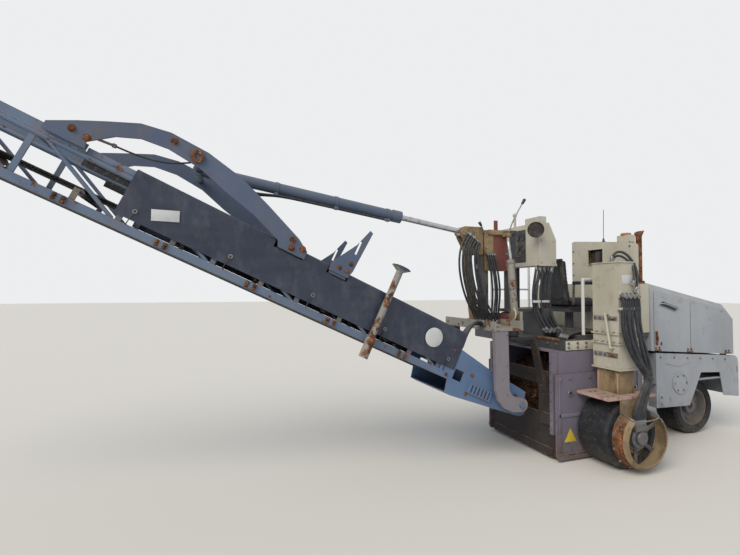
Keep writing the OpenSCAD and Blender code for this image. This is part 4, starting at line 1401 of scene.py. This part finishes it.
@dataclass
class LegDetails:
    """Hoses, bolts and plates on the right leg, with the wheel motor in its dished guard."""

    box_face: float = -850.0
    hub_x: float = -50.0
    hub_z: float = 310.0
    hub_y: float = -905.5
    hoses: int = 8

    def build(self) -> None:
        """Make every piece."""
        self.make_hoses()
        self.make_box_fittings()
        self.make_motor()
        self.make_leg_fittings()

    def make_hoses(self) -> None:
        """Hang eight hoses from the leg's box down to the motor."""
        piece = Piece("leg_hoses", Body.CHASSIS, Finishes.hose)
        piece.reaches = Body.LEG_RIGHT
        piece.leave, piece.arrive = (0.0, -930.0, 1180.0), (0.0, -960.0, 640.0)
        for number in range(self.hoses):
            sway = wander(number + 1.0, 30.0)
            x = -138 + number * 25
            bow = number / (self.hoses - 1)
            route = [
                (x, self.box_face - 14, 1567 + 26 * (number % 2)),
                (x, self.box_face - 48, 1562),
                (x - 20 + 30 * bow, self.box_face - 50, 1460),
                (-196 + 215 * bow + sway.x, -915 - 9 * (number % 3), 1270 + sway.z),
                (-104 + 196 * bow + sway.y, -925 - 9 * (number % 3), 1010),
                (62 + 40 * bow, -935 - 10 * (number % 4), 860),
                (66 + 36 * bow, -940 - 10 * (number % 3), 780),
                (-78 + 120 * bow + sway.x, -950 - 9 * (number % 3), 620),
                (self.hub_x - 78 + 120 * bow, -962, 490),
                (self.hub_x - 56 + 112 * bow, -958, 408),
            ]
            piece.hose(route, 14, Finishes.zinc)
        piece.use(Finishes.black_plastic)
        piece.rod((58, -945, 812), (108, -945, 826), 34, sides=20, bevel=6)
        piece.done()
        arcs = Piece("leg_top_hoses", Body.CHASSIS, Finishes.hose)
        outer = [(-130, -760, 1880), (-122, -765, 1960), (-40, -790, 2010), (60, -840, 1890)]
        arcs.hose(outer + [(62, -885, 1740), (30, -888, 1640), (12, -874, 1600)], 12, Finishes.zinc)
        inner = [(-96, -740, 1880), (-90, -745, 1930), (-30, -760, 1962), (24, -820, 1890)]
        arcs.hose(inner + [(34, -872, 1800), (14, -880, 1720), (-10, -874, 1660)], 11, Finishes.zinc)
        arcs.done()

    def make_box_fittings(self) -> None:
        """Add the hose block, clamps, bolt strips and blank plate to the leg's box."""
        piece = Piece("leg_box_fittings", Body.CHASSIS, Finishes.cream)
        piece.block((-158, self.box_face - 16, 1548), (62, self.box_face + 1, 1612), 4)
        piece.block((-175, self.box_face - 60, 1440), (62, self.box_face - 53, 1464), 2)
        for x in (-168, 55):
            piece.block((x - 6, self.box_face - 56, 1442), (x + 6, self.box_face + 1, 1462), 2)
        piece.block((-158, -860, 1872), (78, -550, 1884), 4)
        piece.use(Finishes.white_plate)
        piece.block((-104, self.box_face - 3, 1677), (18, self.box_face, 1759), 1)
        piece.use(Finishes.rusty_grey)
        for z in (1340, 1000):
            piece.block((-157, -836, z), (-149.5, -574, z + 40), 2)
        piece.use(Finishes.zinc)
        strip = (-815, -760, -705, -650, -595)
        piece.bolts([(-157, y, z) for z in (1360, 1020) for y in strip], (-1, 0, 0), 10)
        flanges = (1134.5, 1224.5)
        piece.bolts([(x, -857, z) for x in (-150, -95, -40, 15, 70) for z in flanges], (0, 0, 1), 9)
        piece.bolts([(-158, y, z) for y in (-800, -740, -680, -610) for z in flanges], (0, 0, 1), 9)
        block = [(x, self.box_face - 16, 1562) for x in (-112, -68, -24, 20)]
        piece.bolts(block, (0, -1, 0), 7, washer=False)
        piece.done()

    def make_motor(self) -> None:
        """Set the wheel motor inside its guard, which is open at the top for the hoses."""
        x, y, z = self.hub_x, self.hub_y, self.hub_z
        hub = (x, y, z)
        face = Matrix.Translation(hub) @ Matrix.Rotation(math.pi / 2, 4, "X")
        piece = Piece("wheel_motor_guard", Body.LEG_RIGHT, Finishes.tan_cake)
        rim, depth = 266.0, 138.0
        start, sweep = 128, 272
        shell = [(rim, 0), (rim, 20), (rim - 6, depth - 34), (rim - 22, depth - 10), (rim - 40, depth)]
        inner = [(rim - 44, depth - 8), (rim - 30, depth - 18), (rim - 15, depth - 40)]
        piece.ring(shell + inner + [(rim - 9, 20), (rim - 9, 0)], face, start, sweep, 64)
        piece.use(Finishes.rusty_plate)
        hoop = [(rim + 1, 6), (rim + 5, 8), (rim + 5, 28), (rim + 1, 30)]
        piece.ring(hoop, face, start, sweep, 64)
        crust = [(rim - 1, 34), (rim + 1.2, 34), (rim - 4.2, depth - 36), (rim - 6.4, depth - 36)]
        piece.ring(crust, face, start, 110, 40)
        piece.use(Finishes.grey_cake)
        for angle in (160, 215, 270, 325, 20):
            spoke = face @ Matrix.Rotation(math.radians(angle), 4, "Z")
            piece.block((88, -18, 2), (rim - 12, 18, 13), 3, spoke)
        piece.use(Finishes.zinc)
        for angle in range(140, 400, 28):
            turn = face @ Matrix.Rotation(math.radians(angle), 4, "Z")
            spot, away = turn @ Vector((rim + 4, 0, 18)), turn.to_3x3() @ Vector((1, 0, 0))
            piece.bolt(tuple(spot), tuple(away), 9)
        piece.use(Finishes.cast)
        drum = [(0, 0), (112, 0), (112, 14), (100, 18), (94, 30), (94, 56), (84, 62), (60, 64)]
        piece.lathe(drum + [(60, 80), (52, 90), (28, 93), (26, 88), (0, 88)], hub, (0, -1, 0), 56)
        piece.bolt_circle((x, y - 61, z), 78, 8, -1, 8, washer=False)
        piece.block((x - 78, y - 84, z + 62), (x + 78, y - 12, z + 108), 8)
        piece.use(Finishes.zinc)
        rail = [(-216, -905, 530), (-222, -990, 520), (-236, -1032, 506), (-200, -1040, 484)]
        rail += [(-60, -1042, 478), (70, -1040, 486), (104, -1032, 508), (96, -990, 524), (92, -905, 532)]
        piece.tube(rail, 6.5, 2)
        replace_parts(piece.done(), "motor_right")

    def make_leg_fittings(self) -> None:
        """Add bolts and wear strips to the leg's plate and column."""
        piece = Piece("leg_fittings", Body.LEG_RIGHT, Finishes.zinc)
        piece.bolts([(x, -905, z) for x in (-170, 70) for z in (400, 500, 600)], (0, -1, 0), 10)
        plate = [(x, y, 669) for x in (-300, -240, 170) for y in (-860, -760, -660)]
        piece.bolts(plate, (0, 0, 1), 10)
        piece.use(Finishes.pink_primer)
        piece.block((-352, -904, 640), (-344, -548, 671), 2)
        piece.block((214, -904, 640), (222, -548, 671), 2)
        piece.block((-352, -906, 640), (222, -899, 671), 2)
        for y in (-812, -598):
            piece.block((-136, y - 8, 669), (-128, y + 8, 860), 2)
        piece.done()


@dataclass
class MastDetails:
    """Hoses, tilt cylinder and brackets round the slewing mast."""

    deck: float = 1272.0

    def build(self) -> None:
        """Make every piece."""
        self.make_hoses()
        self.make_cross_hoses()
        self.make_cylinder()

    def make_hoses(self) -> None:
        """Loop the hoses out from the mast's cheeks and down to the cross plate."""
        piece = Piece("mast_hoses", Body.SLEWING, Finishes.hose)
        for number in range(7):
            sway = wander(number + 21.0, 34.0)
            y = -84 - 19 * number
            route = [
                (-1216 + 18 * number, -62, 2196 - 20 * number),
                (-1240 + 14 * number, y, 2190 - 16 * number),
                (-1322 + 16 * number + sway.x, y - 10, 2085 - 12 * number),
                (-1362 + 24 * number + sway.x, y - 22 + sway.y, 1830),
                (-1290 + 22 * number, y - 16, 1540 + sway.z),
                (-1196 + 24 * number, y - 8, 1400),
                (-1160 + 26 * number, y - 6, self.deck + 52),
                (-1160 + 26 * number, y - 6, self.deck + 6),
            ]
            piece.hose(route, 12.5 if number % 2 else 10.5, Finishes.zinc)
        for number in range(4):
            sway = wander(number + 41.0, 22.0)
            x = -1010 + 26 * number
            route = [
                (x - 10, -62, 1990),
                (x - 12, -104, 1980),
                (x + sway.x, -128, 1820),
                (x + 22, -142 + sway.y, 1600),
                (x + 10, -128, 1430),
                (x + 12, -112, 1310),
                (x + 12, -108, 1278),
            ]
            piece.hose(route, 10, Finishes.zinc)
        piece.use(Finishes.cream)
        piece.block((-1200, -232, self.deck), (-960, -96, self.deck + 12), 3)
        piece.done()

    def make_cross_hoses(self) -> None:
        """Drape a bundle from the cross plate to the conveyor's side."""
        piece = Piece("conveyor_feed_hoses", Body.SLEWING, Finishes.hose)
        piece.reaches = Body.CONVEYOR
        piece.leave, piece.arrive = (-1240.0, -230.0, 1300.0), (-1480.0, -330.0, 1060.0)
        for number in range(4):
            y = -238 - 24 * number
            route = [
                (-1190, y, 1286),
                (-1250, y, 1312 + 8 * number),
                (-1350, y - 14, 1290 + 12 * number),
                (-1440, y - 20, 1180),
                (-1470, y - 22, 1080),
                (-1520, y - 20, 1050),
                (-1560, y - 18, 1046),
            ]
            piece.hose(route, 15, Finishes.zinc)
        piece.done()

    def make_cylinder(self) -> None:
        """Stand the small cylinder beside the mast, between its two brackets."""
        piece = Piece("mast_side_cylinder", Body.SLEWING, Finishes.rusty_grey)
        low, knee, top = Vector((-805, -226, 1398)), Vector((-790, -152, 1900)), Vector((-790, -106, 2178))
        piece.rod(tuple(low), tuple(knee), 36, sides=32)
        piece.rod(tuple(knee - Vector((0, 2, 12))), tuple(knee + Vector((0, 3, 24))), 41, sides=32)
        piece.lathe([(0, -26), (30, -26), (34, -20), (34, 20), (30, 26), (0, 26)], tuple(low), (1, 0, 0), 24)
        piece.use(Finishes.chrome)
        piece.rod(tuple(knee), tuple(top), 18, sides=24)
        piece.use(Finishes.tan_cake)
        piece.lathe([(0, -22), (27, -22), (30, -17), (30, 17), (27, 22), (0, 22)], tuple(top), (1, 0, 0), 24)
        piece.block((-830, -128, 2166), (-758, -60, 2200), 4)
        piece.block((-905, -262, self.deck), (-760, -84, self.deck + 28), 4)
        for x in (-846, -776):
            piece.prism([(-256, 1299), (-196, 1299), (-200, 1414), (-252, 1414)], x, x + 12, "YZ", 2)
        piece.use(Finishes.zinc)
        piece.tube([(-742, -66, 2205), (-724, -70, 2290), (-706, -80, 2340), (-585, -92, 2535)], 7, 2)
        piece.tube([(-1052, -66, 2200), (-1060, -84, 2226), (-1096, -90, 2274)], 6, 2)
        piece.use(Finishes.black_plastic)
        piece.rod((-594, -91, 2520), (-562, -95, 2572), 13, 17, sides=20, bevel=5)
        piece.rod((-1090, -89, 2266), (-1118, -92, 2304), 12, 15, sides=20, bevel=5)
        piece.use(Finishes.red_oxide)
        piece.block((-926, -70, 2196), (-880, -60, 2334), 4)
        piece.use(Finishes.tan_cake)
        piece.block((-1042, -66, 1818), (-932, -59.5, 2232), 3)
        piece.block((-1000, -82, 2186), (-742, -59, 2236), 4)
        piece.use(Finishes.cream)
        piece.tube([(-842, -262, 1330), (-842, -300, 1344), (-842, -304, 1420), (-842, -262, 1440)], 9, 2)
        piece.use(Finishes.zinc)
        foot = [(x, y, self.deck + 28) for x in (-890, -775) for y in (-240, -110)]
        piece.bolts(foot, (0, 0, 1), 11)
        plate = [(x, y, self.deck) for x in (-1160, -1120) for y in (-420, -340, 340, 420)]
        piece.bolts(plate, (0, 0, 1), 13)
        web = [(x, -75, z) for z in (1250, 1310, 1360) for x in (-980, -930, -760)]
        piece.bolts(web, (0, -1, 0), 10)
        for z in (1870, 1990, 2110):
            piece.bolts([(-770, -60, z), (-1010, -60, z + 60)], (0, -1, 0), 11)
        piece.use(Finishes.tan_cake)
        ring = [(21, 0), (44, 0), (46, 2), (46, 10), (44, 12), (21, 12), (21, 0)]
        for side in (-1, 1):
            piece.lathe(ring, (-1265, side * 58.4, 2210), (0, side, 0), 32)
        piece.done()


@dataclass
class StationDetails:
    """The operator's station: lamp, panel, lever, antenna and the hoses below the console."""

    def build(self) -> None:
        """Make every piece."""
        self.make_console()
        self.make_hoses()
        self.make_roof()

    def make_console(self) -> None:
        """Fit the dark panel, blank dials, switches, lever and work lamp."""
        piece = Piece("console_fittings", Body.CHASSIS, Finishes.black_plastic)
        piece.block((-425, 62, 1922), (-417, 438, 2278), 3)
        dial = [(22, 0), (34, 0), (36, 3), (34, 9), (28, 9), (26, 5), (0, 5)]
        for y in (110, 200, 290, 380):
            for z in (2080, 2200):
                piece.lathe(dial, (-425, y, z), (-1, 0, 0), 28)
        piece.use(Finishes.zinc)
        for y in range(96, 420, 36):
            piece.rod((-424, y, 1990), (-442, y, 1996), 5, sides=12)
        piece.use(Finishes.cream)
        piece.block((-436, -156, 1872), (-204, -149, 1900), 3)
        piece.bolts([(x, -150, z) for z in (1910, 2140) for x in (-400, -250)], (0, -1, 0), 8)
        piece.use(Finishes.black_plastic)
        piece.rod((-432, -120, 2250), (-492, -168, 2250), 10, sides=16)
        lamp, aim = (-470, -150, 2262), (-0.634, -0.729, -0.259)
        shell = [(0, 0), (40, 2), (50, 12), (78, 84), (82, 92), (76, 94), (70, 84), (0, 78)]
        piece.lathe(shell, lamp, aim, 40)
        piece.use(Finishes.dark_glass)
        lens = Vector(lamp) + Vector(aim) * 80
        piece.lathe([(0, 7), (40, 5), (71, 0), (71, -4), (0, -4)], tuple(lens), aim, 40)
        piece.done()

    def make_hoses(self) -> None:
        """Drop the wide black bundle from the console to the frame."""
        piece = Piece("console_hoses", Body.CHASSIS, Finishes.hose)
        for number in range(6):
            sway = wander(number + 61.0, 30.0)
            x = -418 + 34 * number
            y = -92 - 16 * (number % 3)
            route = [
                (x, y, 1881),
                (x - 6, y, 1830),
                (x - 70 + sway.x, y - 20, 1640),
                (x - 78 + 6 * number, y - 22 + sway.y, 1480),
                (x - 52, y - 50, 1320),
                (x - 6, y - 92, 1220),
                (x + 34, y - 104, 1188),
            ]
            piece.hose(route, 17 if number % 2 else 13, Finishes.zinc)
        piece.use(Finishes.white_plate)
        piece.block((-520, -158, 1490), (-310, -146, 1514), 3)
        piece.done()
        side = Piece("frame_top_hoses", Body.CHASSIS, Finishes.hose)
        for number in range(4):
            y = -430 + 26 * number
            route = [(-420, y - 60, 1150), (-330, y - 20, 1200 + 8 * number), (-120, y, 1204), (120, y, 1200)]
            side.hose(route + [(300, y + 8, 1202), (430, y + 10, 1212)], 12, Finishes.zinc)
        side.done()

    def make_roof(self) -> None:
        """Add the antenna, the cowl's window trim and its vent."""
        piece = Piece("cowl_fittings", Body.CHASSIS, Finishes.black_plastic)
        piece.lathe([(0, 0), (22, 0), (22, 6), (12, 10), (9, 40), (0, 42)], (480, -120, 2158), (0, 0, 1), 20)
        piece.tube([(480, -120, 2190), (481, -120, 2350), (486, -121, 2520)], 3.2, 1)
        piece.use(Finishes.cream)
        edge = [(-150, 1905), (60, 1905), (60, 2080), (-150, 2080), (-150, 1905)]
        piece.tube([(439, y, z) for y, z in edge], 8, 2, smooth=False)
        piece.use(Finishes.dark_glass)
        piece.block((480, -148, 1907), (486, 58, 2078), 1)
        piece.use(Finishes.cream)
        piece.block((436, -506, 1560), (442, -494, 2080), 2)
        piece.use(Finishes.zinc)
        cowl = [(440, y, z) for z in range(1240, 2090, 140) for y in (-480, 280)]
        piece.bolts(cowl, (-1, 0, 0), 8)
        piece.use(Finishes.orange)
        piece.lathe([(0, 0), (46, 0), (50, 4), (50, 18), (44, 24), (0, 26)], (490, -395, 2200), (0, 0, 1), 32)
        piece.done()


@dataclass
class HousingDetails:
    """Bolts, blank triangle and strips round the drum housing and the frame over it."""

    def build(self) -> None:
        """Make every piece."""
        self.make_frame()
        self.make_side(Body.EDGE_RIGHT, Side.RIGHT)
        self.make_side(Body.EDGE_LEFT, Side.LEFT)
        self.make_panels()

    def make_frame(self) -> None:
        """Bolt the frame's beams and the scraper's guides."""
        piece = Piece("frame_fittings", Body.CHASSIS, Finishes.cream)
        piece.block((-432, -506, 1040), (556, -500.2, 1130), 2)
        piece.use(Finishes.zinc)
        beam = [(x, -506, z) for x in (-400, -290, -185, 130, 300, 480) for z in (1066, 1106)]
        piece.bolts(beam, (0, -1, 0), 10)
        guides = [(-590, y, z) for y in (-470, 470) for z in range(300, 1000, 90)]
        piece.bolts(guides, (-1, 0, 0), 9)
        piece.bolts([(-430, y, 1086) for y in (-380, -260, 260, 380)], (-1, 0, 0), 11)
        piece.use(Finishes.rusty_plate)
        piece.block((-440, -430, 1120), (-430, 480, 1142), 3)
        piece.use(Finishes.black_plastic)
        for number in range(8):
            x = -238 + number * 82
            piece.block((x, -498, 1180.4), (x + 52, 540, 1183), 1)
        piece.done()

    def make_side(self, body: Body, side: Side) -> None:
        """Put skid welds, bolts and lifting eyes on an edge plate.

        Args:
            body: The plate's body.
            side: Its side of the machine.
        """
        sign = side.value
        face = sign * 537.0
        piece = Piece(f"edge_plate_fittings_{side.name.lower()}", body, Finishes.zinc)
        piece.bolts([(x, face, 780) for x in (-540, -420, -180, 60, 300, 450)], (0, sign, 0), 12)
        for x in (-420, 400):
            ring = [(14, 0), (30, 0), (32, 2), (32, 9), (30, 11), (14, 11), (14, 0)]
            piece.lathe(ring, (x, face, 640), (0, sign, 0), 28)
        piece.use(Finishes.housing_mauve)
        low, high = sorted((face, face + sign * 8))
        piece.block((-572, low, 420), (474, high, 452), 3)
        for x in (-560, -60, 440):
            piece.block((x, low, 96), (x + 24, high, 800), 3)
        piece.use(Finishes.rusty_plate)
        low, high = sorted((face, face + sign * 9))
        piece.block((-560, low, 60), (452, high, 74), 3)
        if side is Side.RIGHT:
            piece.use(Finishes.yellow_plate)
            piece.prism([(-496, 185), (-350, 185), (-423, 310)], face - 2.2, face - 0.2, "XZ", 0.6)
        piece.done()

    def make_panels(self) -> None:
        """Trim the lower side panels: round cover, pressed bead, bracket and a dark strip that paints the
        shade of a slot.
        """
        piece = Piece("side_panel_trim", Body.CHASSIS, Finishes.cream_in_sky_shade)
        for face, sign in ((-529.0, -1), (1062.0, 1)):
            rim = [(98, 0), (112, 0), (113, 2), (112, 5), (98, 5), (98, 0)]
            piece.lathe(rim, (1080, face, 630), (0, sign, 0), 48)
        bead = [(875, -521, 850), (900, -521.5, 842), (1040, -521.5, 812)]
        bead += [(1075, -521.5, 812), (1215, -521.5, 842), (1240, -521, 850)]
        piece.tube(bead, 5, 2)
        piece.block((768, -526, 400), (830, -519.5, 547), 3)
        panel_top = [(743, 948), (1972, 868), (1975, 878), (740, 963)]
        piece.prism(panel_top, -513, -473, "XZ", 3)
        piece.prism(panel_top, 1013, 1053, "XZ", 3)
        apron = [(1984, 640.3), (1992, 640.3), (1992, 835), (1972, 868), (1965, 862), (1984, 832)]
        piece.prism(apron, -513, 1053, "XZ", 2)
        piece.use(Finishes.zinc)
        piece.bolt_circle((1080, -529, 630), 86, 6, -1, 8)
        slope, first = 0.069, 740
        edge = [(x, -520, 935 - (x - first) * slope - 14) for x in range(800, 1900, 200)]
        piece.bolts(edge, (0, -1, 0), 8)
        piece.bolts([(799, -526, z) for z in (430, 500)], (0, -1, 0), 9)
        # A dark strip on the panel's front edge stands for the slot: painted shade of its opening.
        piece.use(Finishes.black_plastic)
        piece.block((1995, -522, 690), (2003, -519, 760), 1)
        piece.done()


@dataclass
class RimBolts:
    """Wheel bolts on the outer face of each rim's disc."""

    count: int = 8
    circle: float = 148.0
    rear_disc: float = 42.0
    front_disc: float = 32.0

    def build(self) -> None:
        """Make one piece for each wheel."""
        self.make_wheel("rim_rear_right", Body.WHEEL_REAR_RIGHT, Side.RIGHT, self.rear_disc)
        self.make_wheel("rim_rear_left", Body.WHEEL_REAR_LEFT, Side.LEFT, self.rear_disc)
        self.make_wheel("rim_front_right", Body.WHEEL_FRONT_RIGHT, Side.RIGHT, self.front_disc)
        self.make_wheel("rim_front_left", Body.WHEEL_FRONT_LEFT, Side.LEFT, self.front_disc)

    def make_wheel(self, node: str, body: Body, side: Side, disc: float) -> None:
        """Bolt one rim.

        Args:
            node: The rim's CAD node.
            body: The wheel's body.
            side: Its side of the machine.
            disc: From the rim's middle to the disc's outer face.
        """
        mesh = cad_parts[node]
        back = MACHINE.inverted() @ mesh.matrix_world
        corners = [back @ Vector(corner) for corner in mesh.bound_box]
        hub = sum(corners, Vector()) / len(corners)
        face = hub.y + side.value * disc
        piece = Piece(node.replace("rim", "rim_bolts"), body, Finishes.zinc)
        piece.bolt_circle((hub.x, face, hub.z), self.circle, self.count, side.value, 11)
        piece.done()


@dataclass
class EngineDetails:
    """What shows on the engine when the hood is open: covers, filter, pipes, pulleys and fan."""

    top: float = 1300.0
    side: float = -70.0
    middle: float = 270.0
    cylinders: range = range(930, 1700, 132)

    def build(self) -> None:
        """Make every piece."""
        piece = Piece("engine_fittings", Body.CHASSIS, Finishes.cast)
        inner, outer = self.middle - 150, self.middle + 150
        for x in self.cylinders:
            piece.block((x, inner, self.top - 2), (x + 112, outer, self.top + 58), 14)
        piece.block((900, self.side - 26, 700), (1740, self.side + 2, 860), 10)
        for x in self.cylinders:
            piece.rod((x + 56, self.side + 4, 1190), (x + 56, self.side - 70, 1170), 26, sides=20, bevel=4)
        piece.use(Finishes.rusty_grey)
        near, far = self.side - 78, self.side - 84
        piece.tube([(940, near, 1168), (1300, far, 1168), (1690, near, 1168)], 34, 2)
        piece.tube([(1690, near, 1168), (1730, self.side - 90, 1240), (1700, 60, 1346)], 30, 2)
        piece.use(Finishes.cream)
        canister = [(0, 0), (96, 0), (104, 8), (104, 400), (112, 404), (112, 416), (92, 430)]
        canister += [(30, 436), (0, 436)]
        piece.lathe(canister, (1120, 500, self.top + 60), (1, 0, 0), 40)
        for x in (1200, 1460):
            piece.block((x, 420, self.top - 2), (x + 30, 580, self.top + 60), 4)
        piece.use(Finishes.black_plastic)
        oil = [(0, 0), (42, 0), (46, 4), (46, 120), (40, 134), (0, 138)]
        for x in (1060, 1190):
            piece.lathe(oil, (x, self.side - 70, 860), (0, 0, -1), 28)
            piece.block((x - 46, self.side - 116, 860), (x + 46, self.side, 892), 6)
        fan = [(0, -16), (60, -16), (66, -10), (66, 10), (60, 16), (0, 16)]
        piece.lathe(fan, (1784, self.middle, 980), (1, 0, 0), 32)
        piece.rod((1758, self.middle, 980), (1784, self.middle, 980), 30, sides=20)
        hub, pitch = Matrix.Translation((1784, self.middle, 980)), Matrix.Rotation(0.35, 4, "Z")
        for number in range(7):
            blade = hub @ Matrix.Rotation(number * math.tau / 7, 4, "X") @ pitch
            piece.block((-3, -38, 50), (3, 38, 248), 2, blade)
        piece.use(Finishes.hose)
        feed = [(1700, 430, self.top - 6), (1720, 430, 1350), (1790, 420, 1340), (1815, 410, 1270)]
        piece.tube(feed, 24, 2)
        piece.tube([(1740, 90, 760), (1775, 60, 740), (1800, 40, 742), (1815, 30, 760)], 22, 2)
        for number in range(3):
            low = self.side - 34 - 10 * number
            route = [(960 + 40 * number, self.side, 1060), (1000, low, 1040)]
            route += [(1400, low, 1010 - 26 * number), (1600, low, 1050)]
            piece.hose(route + [(1690 - 30 * number, self.side, 1090)], 9, Finishes.zinc)
        piece.use(Finishes.zinc)
        for x in self.cylinders:
            cover = [(x + 56, self.middle + y, self.top + 58) for y in (-110, 110)]
            piece.bolts(cover, (0, 0, 1), 9)
            piece.bolt((x + 56, self.side - 26, 780), (0, -1, 0), 11)
        piece.done()


@dataclass(frozen=True)
class Zone:
    """A stretch of a CAD node that is painted another way."""

    node: str
    finish: Finish
    low: Point
    high: Point

    def paint(self) -> None:
        """Give the zone's polygons their finish."""
        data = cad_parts[self.node].data
        low, high = MACHINE @ Vector(self.low), MACHINE @ Vector(self.high)
        data.materials.append(self.finish.material())
        slot = len(data.materials) - 1
        for polygon in data.polygons:
            if all(a <= c <= b for a, c, b in zip(low, polygon.center, high)):
                polygon.material_index = slot


ZONES = [
    Zone("brackets", Finishes.rusty_grey, (-9000, -470, 0), (0, -396, 5000)),
    Zone("slew_frame", Finishes.rusty_grey, (-1202, -452, 1240), (-878, 452, 1332)),
    Zone("slew_frame", Finishes.frame_grey, (-776, -90, 1000), (-604, 90, 2300)),
    Zone("mast", Finishes.grey_cake, (-1062, -45, 1270), (-978, 45, 2122)),
    Zone("main_frame", Finishes.cream, (556, -600, 400), (602, 1100, 1142)),
    Zone("leg_right", Finishes.pink_primer, (-400, -910, 640), (230, -500, 672)),
    Zone("console", Finishes.frame_grey, (-263, -61, 1170), (-221, 471, 1879)),
]


@dataclass
class Studio:
    """Pale floor, soft light and the camera at the photograph's viewing angle."""

    eye: tuple[float, float, float] = (-3620.0, -3874.0, 1620.0)
    heading: float = 70.5
    tilt: float = 1.65
    focal_pixels: float = 440.0
    picture_width: float = 740.0
    floor_half: float = 60.0
    sensor: float = 36.0
    sun_way: tuple[float, float, float] = (0.62, 0.42, -0.66)
    sun_power: float = 2.1
    sun_spread: float = 35.0
    sky_power: float = 0.62

    def build(self) -> None:
        """Make the floor, the light and the camera."""
        self.make_floor()
        self.make_light()
        self.make_camera()

    def make_floor(self) -> None:
        """Lay a pale plain floor."""
        mesh = bmesh.new()
        bmesh.ops.create_grid(mesh, x_segments=1, y_segments=1, size=self.floor_half)
        data = bpy.data.meshes.new("studio_floor")
        mesh.to_mesh(data)
        mesh.free()
        floor = bpy.data.objects.new("studio_floor", data)
        bpy.context.scene.collection.objects.link(floor)
        material = bpy.data.materials.new("pale_floor")
        material.use_nodes = True
        shader = material.node_tree.nodes["Principled BSDF"]
        shader.inputs["Base Color"].default_value = linear("#D9D8D4")
        shader.inputs["Roughness"].default_value = 0.9
        shader.inputs["Specular IOR Level"].default_value = 0.1
        data.materials.append(material)

    def make_light(self) -> None:
        """Set a cool even sky and one broad warm sun from behind the machine's rear."""
        world = bpy.data.worlds.new("studio_world")
        bpy.context.scene.world = world
        world.use_nodes = True
        tree = world.node_tree
        tree.nodes.clear()
        sky = add_node(tree, "Background", {0: linear("#EEF3FA"), 1: self.sky_power})
        backdrop = add_node(tree, "Background", {0: linear("#EDEEEF"), 1: 1.0})
        rays = add_node(tree, "LightPath").outputs
        seen = {0: rays["Is Camera Ray"], 1: rays["Is Glossy Ray"]}
        direct = add_node(tree, "Math", {}, seen, operation="MAXIMUM")
        through = {0: direct.outputs[0], 1: rays["Is Transmission Ray"]}
        either = add_node(tree, "Math", {}, through, operation="MAXIMUM")
        parts = {0: either.outputs[0], 1: sky.outputs[0], 2: backdrop.outputs[0]}
        mix = add_node(tree, "MixShader", {}, parts)
        add_node(tree, "OutputWorld", {}, {0: mix.outputs[0]})
        lamp = bpy.data.lights.new("studio_sun", "SUN")
        lamp.energy = self.sun_power
        lamp.angle = math.radians(self.sun_spread)
        lamp.color = linear("#FFF4E4")[:3]
        sun = bpy.data.objects.new("studio_sun", lamp)
        bpy.context.scene.collection.objects.link(sun)
        sun.rotation_euler = Vector(self.sun_way).to_track_quat("-Z", "Y").to_euler()

    def make_camera(self) -> None:
        """Put the camera where the photograph was taken."""
        data = bpy.data.cameras.new("photo_camera")
        data.sensor_width = self.sensor
        data.lens = self.sensor * self.focal_pixels / self.picture_width
        data.clip_end = 300.0
        camera = bpy.data.objects.new("photo_camera", data)
        bpy.context.scene.collection.objects.link(camera)
        camera.location = MACHINE @ Vector(self.eye)
        yaw, pitch = math.radians(self.heading), math.radians(self.tilt)
        level = math.cos(pitch)
        ahead = Vector((math.cos(yaw) * level, math.sin(yaw) * level, math.sin(pitch)))
        camera.rotation_euler = ahead.to_track_quat("-Z", "Y").to_euler()
        bpy.context.scene.camera = camera


def dress_frame() -> None:
    """Give every CAD node that stays its finish."""
    for finish, names in NODE_FINISHES.items():
        for name in names.split():
            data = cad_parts[name].data
            data.materials.clear()
            data.materials.append(finish.material())
            for polygon in data.polygons:
                polygon.material_index = 0
            LOG.info("dressed %s with %s", name, finish.name)


def main() -> None:
    logging.basicConfig(level=logging.INFO, format="%(name)s: %(message)s")
    bpy.context.scene.view_settings.view_transform = "Standard"
    noise.seed_set(11)
    dress_frame()
    for zone in ZONES:
        zone.paint()
    upper = (ConveyorCover, ConveyorDetails, Hood, EngineDetails, Seat)
    lower = (RimBolts, LegDetails, MastDetails, StationDetails, HousingDetails)
    for assembly in upper + lower:
        assembly().build()
    Studio().build()


if __name__ == "__main__":
    main()
